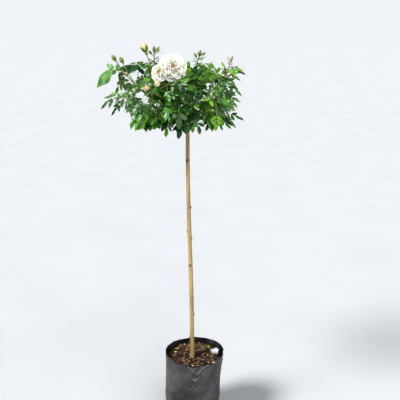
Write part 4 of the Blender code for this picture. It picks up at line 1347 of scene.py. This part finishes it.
SEPAL_ROWS = 9
# Material of each bud's petals, their overlap and openness, and its sepals' cover and flare.
BUD_LOOKS = {
    "spear": ("leaf_bronze", 0.10, 0.0, 0.9, 0.1),
    "small_bud": ("sepal", 0.06, 0.0, 1.12, 0.0),
    "cluster": ("sepal", 0.06, 0.0, 1.12, 0.1),
    "green_bud": ("sepal", 0.06, 0.0, 1.10, 0.0),
    "peach_bud": ("petal_blush", 0.16, 0.10, 0.62, 0.15),
    "opening_bud": ("petal_cream", 0.20, 0.45, 0.50, 0.50),
    "hanging_bud": ("petal_blush", 0.16, 0.15, 0.55, 0.30),
}
BUD_GRID = (18, 36)
HUGGING_GRID = (12, 7)
# An opening bud's whorls: petals, their length in shares of the bud's, and their lean.
OPENING_WHORLS = ((5, 1.15, 46), (5, 1.0, 28), (4, 0.85, 14))


def petal_form(tone, length, width, foot_lean, rim_lean, draw, curl=0.2, twist=0.0, ruffle=0.022):
    """A petal that rises from the origin about +Z and leans out to +X."""
    rows, columns = PETAL_GRID
    phase, waves = draw.uniform(0, TAU), draw.uniform(1.6, 2.8)
    notch = draw.uniform(0.0, 0.05)
    x = z = 0.0
    verts = []
    for t in shares(rows):
        lean = math.radians(foot_lean + (rim_lean - foot_lean) * t ** 1.6)
        half = width / 2 * (0.22 + 0.78 * math.sin(math.pi * 0.5 * min(t * 1.45, 1.0)))
        half *= math.sqrt(1 - 0.62 * max((t - 0.66) / 0.34, 0.0) ** 2)
        for column in range(columns):
            across = 2 * column / (columns - 1) - 1
            side = across * half
            dip = notch * math.exp(-(across / 0.25) ** 2)
            back = length * (0.20 * across ** 2 * t ** 3 + dip * t ** 6)
            wave = ruffle * width * math.sin(waves * math.pi * across + phase) * t ** 3
            out = wave + twist * side - curl * width * across ** 2 * (0.3 + 0.7 * t)
            verts.append((
                x - back * math.sin(lean) + out * math.cos(lean), side,
                z - back * math.cos(lean) - out * math.sin(lean),
            ))
        x += length / (rows - 1) * math.sin(lean)
        z += length / (rows - 1) * math.cos(lean)
    return np.array(verts), (grid_faces(rows, columns), tone)


def add_stamen(piece, bloom, number, base, draw):
    turn = number * GOLDEN_TURN
    lean = math.radians(2 + 24 * math.sqrt(number / STAMENS) + draw.uniform(-4, 4))
    length = bloom.radius * draw.uniform(0.40, 0.54)
    foot = at_turn(turn) * (bloom.radius * 0.03)
    aim = at_turn(turn, math.sin(lean), math.cos(lean))
    tip = foot + aim * length
    middle = (foot + tip) / 2 + UP * (length * 0.05)
    piece.add_turned(limb([foot, middle, tip], STAMEN_RADII, 4, "stamen"), base, bloom.point)
    head = ball(tip, (aim + UP * 0.5).normalized(), *ANTHER, 6, 4)
    piece.add_turned(body(head, "anther"), base, bloom.point)


def add_flower(petals, stamens, sepals, bloom, draw):
    whorls = WHORLS[bloom.kind]
    spin = draw.uniform(0, TAU)
    for number, (count, length, width, foot_lean, rim_lean, curl, tone) in enumerate(whorls):
        spin += TAU / count * 0.5 + draw.uniform(-0.15, 0.15)
        ring = 0.08 * (1 - number / len(whorls))
        for petal in range(count):
            turn = spin + TAU * petal / count + draw.uniform(-0.08, 0.08)
            form = petal_form(
                tone, bloom.radius * length * draw.uniform(0.93, 1.05),
                bloom.radius * width * draw.uniform(0.92, 1.06),
                foot_lean + draw.uniform(-3, 3), rim_lean + draw.uniform(-9, 6), draw, curl,
                PETAL_TWIST)
            form[0][:, 0] += bloom.radius * ring
            petals.add_turned(form, turned_to(bloom.axis, turn), bloom.point)
    base = turned_to(bloom.axis)
    for number in range(STAMENS):
        add_stamen(stamens, bloom, number, base, draw)
    add_calyx(sepals, bloom.point, bloom.axis, bloom.radius * 0.17, bloom.radius * 0.75, 118, draw)


def add_calyx(piece, point, axis, radius, length, lean, draw):
    """The green cup under a flower, with its five long sepals."""
    hip = ball(point - axis * (radius * 0.7), axis, radius, radius * 2.6, 12, 8)
    piece.add(*body(hip, "sepal"))
    for fifth in turns(SEPALS):
        turn = fifth + draw.uniform(-0.15, 0.15)
        form = sepal_form(
            radius, length * draw.uniform(0.85, 1.15), lean + draw.uniform(-10, 10), draw)
        piece.add_turned(form, turned_to(axis, turn), point)


def sepal_form(radius, length, lean, draw):
    """A sepal that starts on a flower's cup at +X, hugs it, and leans away by its tip."""
    x, z = radius * 0.75, 0.0
    bow = draw.uniform(-0.15, 0.15)
    verts = []
    for row, t in enumerate(shares(SEPAL_ROWS)):
        angle = math.radians(20 * (1 - t) + lean * t)
        half = max(length * 0.15 * (1 - t) ** 0.7 * (1.0 + 0.25 * (row % 2)), 0.0002)
        for across in (-1, 0, 1):
            side = across * half + bow * length * t * t
            back = -abs(across) * half * 0.35
            verts.append((x + back * math.cos(angle), side, z - back * math.sin(angle)))
        x += length / (SEPAL_ROWS - 1) * math.sin(angle)
        z += length / (SEPAL_ROWS - 1) * math.cos(angle)
    return verts, (grid_faces(SEPAL_ROWS, 3), "sepal")


def bud_girth(t, openness):
    """A bud's radius at a share of its length, of its widest."""
    arc = math.pi * (0.06 + 0.94 * min(t, 1.0)) ** (0.82 + openness * 0.5)
    closed = max(math.sin(arc), 0.03) ** 0.72
    return max(closed, openness * t)


def bud_form(radius, length, material, overlap, openness):
    """Furled petals: an egg shape whose overlapping edges wind up it."""
    rows, columns = BUD_GRID
    verts = []
    for t in shares(rows):
        girth = radius * bud_girth(t, openness)
        for column in range(columns):
            share = column / columns
            step = (share * 3 + t * 0.9) % 1.0
            out = girth * (1 + overlap * (step - 0.5))
            verts.append((
                out * math.cos(TAU * share), out * math.sin(TAU * share),
                length * (t - 0.08) - (radius * 0.3 * openness * step if t > 0.9 else 0.0),
            ))
    last = len(verts)
    verts.append((0.0, 0.0, length * 0.80 if openness > 0.3 else length * 0.93))
    walls = grid_faces(rows, columns, closed=True)
    return verts, (walls, material), (fan(last - columns, columns, last), material)


def hugging_sepal(radius, length, cover, openness, flare, draw):
    """A sepal that lies on a bud from its foot up to a share of its length, with a free tip."""
    rows, columns = HUGGING_GRID
    cover *= draw.uniform(0.9, 1.1)
    verts = []
    for row, s in enumerate(shares(rows)):
        t = s * cover
        out = radius * max(bud_girth(t, openness) * 1.10 + 0.02, 0.12)
        out += radius * flare * s ** 3
        spread = math.radians(39) * (1 - s) ** 0.75 * (1.0 + 0.10 * (row % 2))
        for column in range(columns):
            turn = spread * (2 * column / (columns - 1) - 1)
            verts.append((out * math.cos(turn), out * math.sin(turn), length * (t - 0.09)))
    return verts, (grid_faces(rows, columns), "sepal")


def add_bud(petals, sepals, bloom, draw):
    _, point, axis, radius, length = bloom
    material, overlap, openness, cover, flare = BUD_LOOKS[bloom.kind]
    form = bud_form(radius, length, material, overlap, openness)
    petals.add_turned(form, turned_to(axis, draw.uniform(0, TAU)), point)
    for count, reach, spread in OPENING_WHORLS if bloom.kind == "opening_bud" else ():
        for number in range(count):
            lean = spread + draw.uniform(-6, 6)
            form = petal_form(
                "petal", length * reach, radius * 1.6, 18, lean, draw, 0.22, PETAL_TWIST)
            petals.add_turned(form, turned_to(axis, TAU * number / count + count * reach), point)
    spin = draw.uniform(0, TAU)
    for number in range(SEPALS):
        form = hugging_sepal(radius, length, cover, openness, flare, draw)
        sepals.add_turned(form, turned_to(axis, spin + TAU * number / SEPALS), point)
    foot = point - axis * (length * 0.10)
    cup = [foot - axis * (radius * 0.9), foot - axis * (radius * 0.4), foot + axis * (radius * 0.3)]
    sepals.add(*limb(cup, [radius * 0.30, radius * 0.50, radius * 0.42], 12, "sepal"))


def make_blossom(crown, draw):
    petals = Piece("petals", "petals")
    stamens = Piece("stamens", "petals")
    sepals = Piece("sepals", "buds")
    for mass in MASSES:
        for twig in crown[mass.name]["twigs"]:
            for bloom in blooms_of(twig):
                if bloom.kind in WHORLS:
                    add_flower(petals, stamens, sepals, bloom, draw)
                else:
                    add_bud(petals, sepals, bloom, draw)
    for piece in (petals, stamens, sepals):
        piece.make()


# ---------------------------------------------------------------- stem

FLARE_RADIUS = 0.0016
FLARE_HEIGHT = 0.030
STEM_SWAY = 0.0020
SCAR_RADIUS = 0.0042
SCARS = tuple(
    (height, math.radians(180 + 144 * number))
    for number, height in enumerate((0.348, 0.444, 0.530, 0.640, 0.742, 0.769, 0.859, 0.937, 1.030))
)
SCAR_REACH = 0.016              # further up or down than this, a scar doesn't show
STEM_SIDES = 44
STEM_RING = 0.0015
STEM_SINK = 0.004               # the bark runs this far into the soil
BARK_ROUND = 0.008              # the radius at which the bark's noises are read
# How far each feature of the bark stands out or lies in.
BARK_GRAIN, FISSURE, RING_SCAR, UNION_LUMPS = 0.00022, 0.0007, 0.0008, 0.0026
SCAR_STUB, SCAR_HOLLOW, SCAR_LIP = 0.0030, 0.0013, 0.0009
KNOT_BELOW = 0.022              # the union's bark starts this far below its middle


def stem_share(height):
    """How far up the bare stem a height is."""
    return min(max((height - STEM_FOOT.z) / (UNION.z - STEM_FOOT.z), 0.0), 1.0)


def stem_point(height):
    """The bare stem's axis at a height, a slight double bend from its foot to the union."""
    t = stem_share(height)
    point = STEM_FOOT.lerp(UNION, t)
    point.x += STEM_SWAY * math.sin(TAU * t)
    point.y += STEM_SWAY * 0.7 * math.sin(1.5 * math.pi * t) * (1 - t)
    point.z = height
    return point


def stem_radius(height):
    flare = FLARE_RADIUS * max(1 - (height - STEM_FOOT.z) / FLARE_HEIGHT, 0.0) ** 2
    taper = (STEM_TOP_RADIUS - STEM_FOOT_RADIUS) * stem_share(height)
    return STEM_FOOT_RADIUS + taper + min(flare, FLARE_RADIUS)


def union_radius(height):
    share = (height - UNION.z) / UNION_HALF_HEIGHT
    return UNION_RADIUS * math.sqrt(max(1 - share * share, 0.0))


def from_turn(turn, other):
    """The angle between two turns, the short way round."""
    return (turn - other + math.pi) % TAU - math.pi


def bark_relief(turn, height):
    """How far the bark stands out: its grain, its fissures, ring scars, and the union's lumps."""
    place = at_turn(turn, BARK_ROUND, height)

    def rough(across, up):
        return noise.noise((place.x * across, place.y * across, height * up))

    fissure = max(abs(rough(260, 16)) - 0.25, 0)
    ring_scar = max(noise.noise((height * 70, 0.3, 0.7)) - 0.35, 0.0)
    knobby = min(max((height - UNION.z + 0.035) / 0.02, 0.0), 1.0)
    out = rough(420, 38) * BARK_GRAIN - fissure * FISSURE + ring_scar * RING_SCAR
    return out + knobby * rough(190, 90) * UNION_LUMPS


def scar_relief(turn, height, radius):
    """How far pruning scars stand out at a place, and how near it is to one's middle."""
    out, near = 0.0, 1.0
    for scar_height, scar_turn in SCARS:
        rise = height - scar_height
        if abs(rise) > SCAR_REACH:
            continue
        apart = math.hypot(rise * 0.85, from_turn(turn, scar_turn) * radius) / SCAR_RADIUS
        out += SCAR_STUB * math.exp(-apart ** 4 * 0.7) - SCAR_HOLLOW * math.exp(-(apart * 2.0) ** 4)
        out += SCAR_LIP * math.exp(-(apart - 1.3) ** 2 * 6)
        near = min(near, apart / 1.2)
    return out, near


def make_stem():
    piece = Piece("stem", "stem_bark", "trunk")
    top = UNION.z + UNION_HALF_HEIGHT * 0.985
    foot = STEM_FOOT.z - STEM_SINK
    rows = int((top - foot) / STEM_RING)
    verts, paints = [], []
    for row in range(rows):
        height = foot + (top - foot) * row / (rows - 1)
        axis = stem_point(height)
        radius = max(stem_radius(height) if height < UNION.z else 0.0, union_radius(height))
        for turn in turns(STEM_SIDES):
            swollen, near = scar_relief(turn, height, radius)
            out = radius + (bark_relief(turn, height) + swollen)
            verts.append(axis + at_turn(turn) * out)
            paints.append(
                "scar" if near < 0.75 else "knot" if height > UNION.z - KNOT_BELOW else "bark")
    faces = grid_faces(rows, STEM_SIDES, closed=True)
    ends = len(verts)
    verts += [stem_point(foot), UNION + UP * UNION_HALF_HEIGHT]
    piece.add(
        verts, (faces, [paints[row[0]] for row in faces]),
        (fan(0, STEM_SIDES, ends, up=False), "bark"),
        (fan(ends - STEM_SIDES, STEM_SIDES, ends + 1), "knot"))
    piece.make()


# ---------------------------------------------------------------- bag

BAG_HEIGHT = 0.287
BAG_BASE_RADIUS = 0.098
BAG_BODY_RADIUS = 0.1035
BAG_MOUTH_RADIUS = 0.1105
BAG_CORNER = 0.006
BAG_LEAN = 0.013
RIM_WAVE = 0.0025
FILM = 0.0009                   # shown thickness of the film
BAG_SIDES = 240
BAG_ROWS = 150
INNER_ROWS = 22
INNER_REACH = 0.020             # how far below the soil's top the film is seen from inside
BASE_RINGS = (0.012, 0.050, BAG_BASE_RADIUS - 0.004)
BAG_RINGS = (
    (0.0, BAG_BASE_RADIUS), (BAG_CORNER, BAG_BODY_RADIUS - 0.0008),
    (0.100, BAG_BODY_RADIUS + 0.0005),
    (0.200, BAG_BODY_RADIUS + 0.0020), (SOIL_TOP, BAG_MOUTH_RADIUS - 0.0015),
    (BAG_HEIGHT, BAG_MOUTH_RADIUS),
)
CREASED_TURN = math.radians(-60)        # the film is creased the most on this side
CREASED_SIDE = 0.9
DENT_TURN = math.radians(-127)
DENT_HEIGHT = 0.250
DENT_DEPTH = 0.0042
DENT_LENGTH, DENT_WIDTH = 0.0060, 0.0026
# How far the film's broad bulges, its two runs of creases and its crinkles stand out.
BULGE, RISING_CREASE, FALLING_CREASE, CRINKLE = 0.0035, 0.0013, 0.0008, 0.0006
RIM_FLOP, RIM_RAGGED = 0.007, 0.0016
PLEAT = 0.0010


def bag_radius(height):
    return float(np.interp(height, *zip(*BAG_RINGS)))


def bag_place(turn, height, radius):
    """A point of the soft bag, where it leans and bulges away from a round one."""
    rise = height / BAG_HEIGHT
    radius += 0.0012 * math.sin(3 * turn + 0.7) * math.sin(math.pi * min(rise, 1.0))
    return Vector((radius * math.cos(turn) + BAG_LEAN * rise ** 2, radius * math.sin(turn), height))


def fold(value, narrowness):
    """A rounded ridge that runs wherever a noise crosses nought."""
    return math.exp(-(value * narrowness) ** 2)


def dent(turn, height):
    """The depth of one slanting dent in the film."""
    across = from_turn(turn, DENT_TURN) * BAG_BODY_RADIUS
    rise = height - DENT_HEIGHT
    along_it, over_it = across * 0.75 - rise * 0.66, across * 0.66 + rise * 0.75
    return DENT_DEPTH * math.exp(-(along_it / DENT_LENGTH) ** 2 - (over_it / DENT_WIDTH) ** 2)


def creases(turn, height):
    """How far the film stands out or in at a place on the bag."""
    def wound(slope, across, up, seed):
        """A noise that winds up the bag, of so many grains a metre across and up."""
        place = at_turn(turn + slope * height, BAG_BODY_RADIUS * across, height * up + seed)
        return noise.noise(place)

    slack = min(max(0.8 + wound(0.0, 14.0, 10.0, 40.0) * 2.2, 0.15), 1.8)
    slack *= 1 + CREASED_SIDE * max(math.cos(turn - CREASED_TURN), 0.0) ** 2
    rising = fold(wound(9.0, 44.0, 16.0, 7.0), 5.0) - 0.4
    falling = fold(wound(-7.0, 30.0, 11.0, 19.0), 5.5) - 0.35
    broad, fine = wound(0.0, 16.0, 9.0, 3.0), wound(7.0, 70.0, 30.0, 51.0)
    slanted = rising * RISING_CREASE + falling * FALLING_CREASE
    out = broad * BULGE + slack * slanted + fine * CRINKLE
    return out * min(height / 0.02, 1.0) - dent(turn, height)


def mouth_share(height):
    """How far up a height is from a little under the soil to the rim."""
    foot = SOIL_TOP - 0.02
    return max((height - foot) / (BAG_HEIGHT - foot), 0.0)


def film_radius(turn, height):
    flop = noise.noise(at_turn(turn, 2.2, 4.0))
    return bag_radius(height) + creases(turn, height) + flop * RIM_FLOP * mouth_share(height) ** 2


def rim_height(turn):
    wave = RIM_WAVE * (math.sin(2 * turn + 1.0) + 0.4 * math.sin(5 * turn)) - RIM_WAVE
    return wave + noise.noise(at_turn(turn, 5.0, 9.0)) * RIM_RAGGED


def base_point(turn, radius):
    """A point of the base, which is pleated inside its flat edge."""
    pleat = PLEAT * fold(noise.noise((turn * 3.0, radius * 40, 2.0)), 4.0)
    return bag_place(turn, 0.0, radius) + UP * pleat * (radius < BAG_BASE_RADIUS - 0.006)


def film_point(turn, height, thickness):
    lift = rim_height(turn) * mouth_share(height)
    return bag_place(turn, height, film_radius(turn, height) - thickness) + UP * lift


def make_bag():
    """One closed skin: up the outside from the middle of the base, over the rim, down inside."""
    piece = Piece("bag", "bag_film", "planter_bag")
    inner_depth = BAG_HEIGHT - SOIL_TOP + INNER_REACH
    walls = [(BAG_HEIGHT * (row / BAG_ROWS) ** 0.97, 0.0) for row in range(BAG_ROWS + 1)]
    walls += [(BAG_HEIGHT - inner_depth * row / INNER_ROWS, FILM) for row in range(INNER_ROWS + 1)]
    verts = [base_point(turn, radius) for radius in BASE_RINGS for turn in turns(BAG_SIDES)]
    verts += [film_point(turn, *wall) for wall in walls for turn in turns(BAG_SIDES)]
    faces = grid_faces(len(BASE_RINGS) + len(walls), BAG_SIDES, closed=True)
    cap = fan(0, BAG_SIDES, len(verts), up=False)
    # The film material's streaks carry painted sheen and painted crease shade as well as the film's
    # mottling.
    piece.add([*verts, (0.0, 0.0, 0.0005)], (faces, "film"), (cap, "film"))
    piece.make(sharp_degrees=75)


# ---------------------------------------------------------------- soil and litter

SOIL_SIDES, SOIL_RINGS = 144, 46
SOIL_GAP = 0.0012               # between the soil and the film round it
SOIL_INSET = 0.0085             # the fill's side, which isn't seen, from the bag's
SOIL_FOOT = 0.0022
SOIL_WALLS = (SOIL_TOP - 0.004, 0.20, 0.10, BAG_CORNER, SOIL_FOOT)
SOIL_CENTRE = 0.004             # radius of the soil's smallest ring
LITTER_REACH = 0.1030
LITTER_CENTRE = bag_place(0.0, SOIL_TOP, 0.0)
CHIP_TONES = ("chip_dark", "chip_brown", "chip_red", "chip_tan", "chip_grey")
CHIP_SHARES = (46, 36, 9, 3, 6)
CHIP_FORMS = 24
CHIP_CORNERS = 11
CHIP_SHAPE = (0.5, 0.25, 0.12)
CHIP_TILTS = (0.35, 0.30)
CHIP_WIDTHS, CHIP_DEPTHS, CHIP_LIFTS = (0.7, 1.3), (0.7, 1.6), (0.02, 0.16)
CHIPS, CHIP_SIZES = 1500, (0.005, 0.021, 0.009)
CRUMBS, CRUMB_SIZES = 1400, (0.002, 0.005)
SPLINTERS, SPLINTER_LENGTHS, SPLINTER_RADII = 170, (0.008, 0.028), (0.0004, 0.0010)
SPLINTER_TONES = ("straw", "chip_tan", "chip_brown")
# Leaves shed on the soil: place, turn, length, material.
SHED_LEAVES = (
    (-0.0475, 0.0511, 200, 0.020, "leaf_fallen"), (-0.0325, 0.0760, 60, 0.017, "leaf_fallen"),
    (0.0726, 0.0690, 160, 0.019, "leaf_lime"), (0.0781, -0.0517, 330, 0.018, "leaf_fallen"),
    (0.0030, -0.0691, 310, 0.015, "leaf_fallen"), (-0.0700, 0.0150, 20, 0.014, "leaf_fallen"),
    (0.0300, -0.0440, 250, 0.012, "leaf_lime"),
)
SHED_PETAL = Vector((0.0930, 0.0060, 0.0))
# The shed petal's folds: turn, lean, size and material.
SHED_FOLDS = (
    (100, 62, 0.026, "petal_fallen"), (215, 40, 0.026, "petal_fallen"),
    (330, 70, 0.026, "petal_fallen"), (20, 30, 0.014, "petal_blush"),
)


def soil_height(x, y):
    lump = noise.noise((x * 38, y * 38, 1.0)) * 0.0050
    return SOIL_TOP + lump + noise.noise((x * 150, y * 150, 5.0)) * 0.0022


def on_soil(place, lift=0.0):
    """The same place, so far above the soil's surface."""
    return Vector((place.x, place.y, soil_height(place.x, place.y) + lift))


def make_soil():
    piece = Piece("soil", "bark_mix", "potting_soil")
    sides = turns(SOIL_SIDES)
    reaches = [film_radius(turn, SOIL_TOP) - FILM - SOIL_GAP - SOIL_CENTRE for turn in sides]
    verts = [
        on_soil(bag_place(turn, SOIL_TOP, SOIL_CENTRE + reach * share))
        for share in shares(SOIL_RINGS) for turn, reach in zip(sides, reaches)
    ]
    verts += [
        bag_place(turn, height, bag_radius(height) - SOIL_INSET)
        for height in SOIL_WALLS for turn in sides
    ]
    ends = len(verts)
    verts += [on_soil(LITTER_CENTRE), (0.0, 0.0, SOIL_FOOT)]
    faces = grid_faces(SOIL_RINGS + len(SOIL_WALLS), SOIL_SIDES, closed=True)[:, ::-1]
    under = fan(ends - SOIL_SIDES, SOIL_SIDES, ends + 1)
    piece.add(verts, (faces, "soil"), (fan(0, SOIL_SIDES, ends), "soil"), (under, "soil"))
    piece.make()


def shard_form(draw):
    """An angular flake of unit length."""
    mesh = bmesh.new()
    for _ in range(CHIP_CORNERS):
        spot = Vector((draw.gauss(0, 1), draw.gauss(0, 1), draw.gauss(0, 1))).normalized()
        mesh.verts.new(value * size for value, size in zip(spot, CHIP_SHAPE))
    bmesh.ops.convex_hull(mesh, input=mesh.verts)
    bmesh.ops.triangulate(mesh, faces=mesh.faces)
    loose = [vert for vert in mesh.verts if not vert.link_faces]
    bmesh.ops.delete(mesh, geom=loose, context="VERTS")
    mesh.verts.index_update()
    verts = np.array([vert.co for vert in mesh.verts])
    faces = np.array([[vert.index for vert in face.verts] for face in mesh.faces])
    mesh.free()
    return verts, faces


def scatter(draw, reach, clear):
    """A place on the soil, clear of the stem."""
    while True:
        turn, out = draw.uniform(0, TAU), reach * math.sqrt(draw.random())
        place = LITTER_CENTRE + at_turn(turn, out)
        if math.hypot(place.x - STEM_FOOT.x, place.y - STEM_FOOT.y) > clear:
            return place


def add_chip(piece, forms, size, draw):
    place = scatter(draw, LITTER_REACH - size * 0.45, 0.0085 + size * 0.35)
    across, ahead = (
        Matrix.Rotation(draw.gauss(0, tilt), 3, axis) for tilt, axis in zip(CHIP_TILTS, "XY"))
    turn = np.array(Matrix.Rotation(draw.uniform(0, TAU), 3, "Z") @ (across @ ahead))
    stretch = np.array((1.0, draw.uniform(*CHIP_WIDTHS), draw.uniform(*CHIP_DEPTHS)))
    place = on_soil(place, size * draw.uniform(*CHIP_LIFTS))
    verts, faces = draw.choice(forms)
    tone = draw.choices(CHIP_TONES, CHIP_SHARES)[0]
    piece.add_turned((verts * stretch * size, (faces, tone)), turn, place)


def add_splinter(piece, draw):
    length = draw.uniform(*SPLINTER_LENGTHS)
    place = scatter(draw, LITTER_REACH - length / 2, 0.012 + length / 2)
    heading = polar(draw.uniform(0, 360), draw.gauss(0, 9), length / 2)
    place = on_soil(place, 0.003)
    bow = Vector((draw.gauss(0, 0.001), draw.gauss(0, 0.001), 0.001))
    thick = draw.uniform(*SPLINTER_RADII)
    radii = (thick * 0.4, thick, thick * 0.3)
    run = [place - heading, place + bow, place + heading]
    piece.add(*limb(run, radii, 4, draw.choice(SPLINTER_TONES)))


def make_litter(draw):
    chips = Piece("bark_chips", "bark_mix")
    forms = [shard_form(draw) for _ in range(CHIP_FORMS)]
    for _ in range(CHIPS):
        add_chip(chips, forms, draw.triangular(*CHIP_SIZES), draw)
    for _ in range(CRUMBS):
        add_chip(chips, forms, draw.uniform(*CRUMB_SIZES), draw)
    for _ in range(SPLINTERS):
        add_splinter(chips, draw)
    chips.make()


def make_shed(forms, draw):
    leaves = Piece("shed_leaves", "foliage")
    for x, y, turn, length, tone in SHED_LEAVES:
        place = on_soil(Vector((x, y, 0.0)), 0.0045)
        axis = polar(turn, draw.uniform(-6, 14))
        face = (UP + polar(draw.uniform(0, 360), 0, 0.4)).normalized()
        plan = BladePlan(place, axis, face, length)
        add_leaflet(leaves, draw.choice(forms), plan, tone, under=tone)
    leaves.make()
    petal = Piece("shed_petal", "petals")
    for turn, lean, size, tone in SHED_FOLDS:
        form = petal_form(tone, size, size * 1.05, lean - 30, lean + 30, draw, ruffle=0.10)
        petal.add_turned(form, turned_to(UP, math.radians(turn)), on_soil(SHED_PETAL, 0.002))
    petal.make()


# ---------------------------------------------------------------- the whole

LITTER_SEED, DRESS_SEED = 301, 101
# How many forms of leaflet there are, and the teeth on each side of one.
LEAFLETS, SMALL_LEAFLETS = (16, 11), (12, 7)


def main():
    add_camera()
    add_studio()
    make_bag()
    make_soil()
    make_litter(random.Random(LITTER_SEED))
    make_stem()
    canes, crown, spaces = lay_out_crown()
    refine_crown(canes, crown, spaces)
    draw = random.Random(DRESS_SEED)
    forms, small_forms = (
        [leaflet_form(draw, teeth) for _ in range(count)]
        for count, teeth in (LEAFLETS, SMALL_LEAFLETS))
    make_shed(forms, draw)
    make_canes(canes, crown, draw)
    for mass in MASSES:
        make_twigs(mass, crown[mass.name], draw)
        make_leaves(mass, crown[mass.name], forms, small_forms, draw)
    make_blossom(crown, draw)


main()
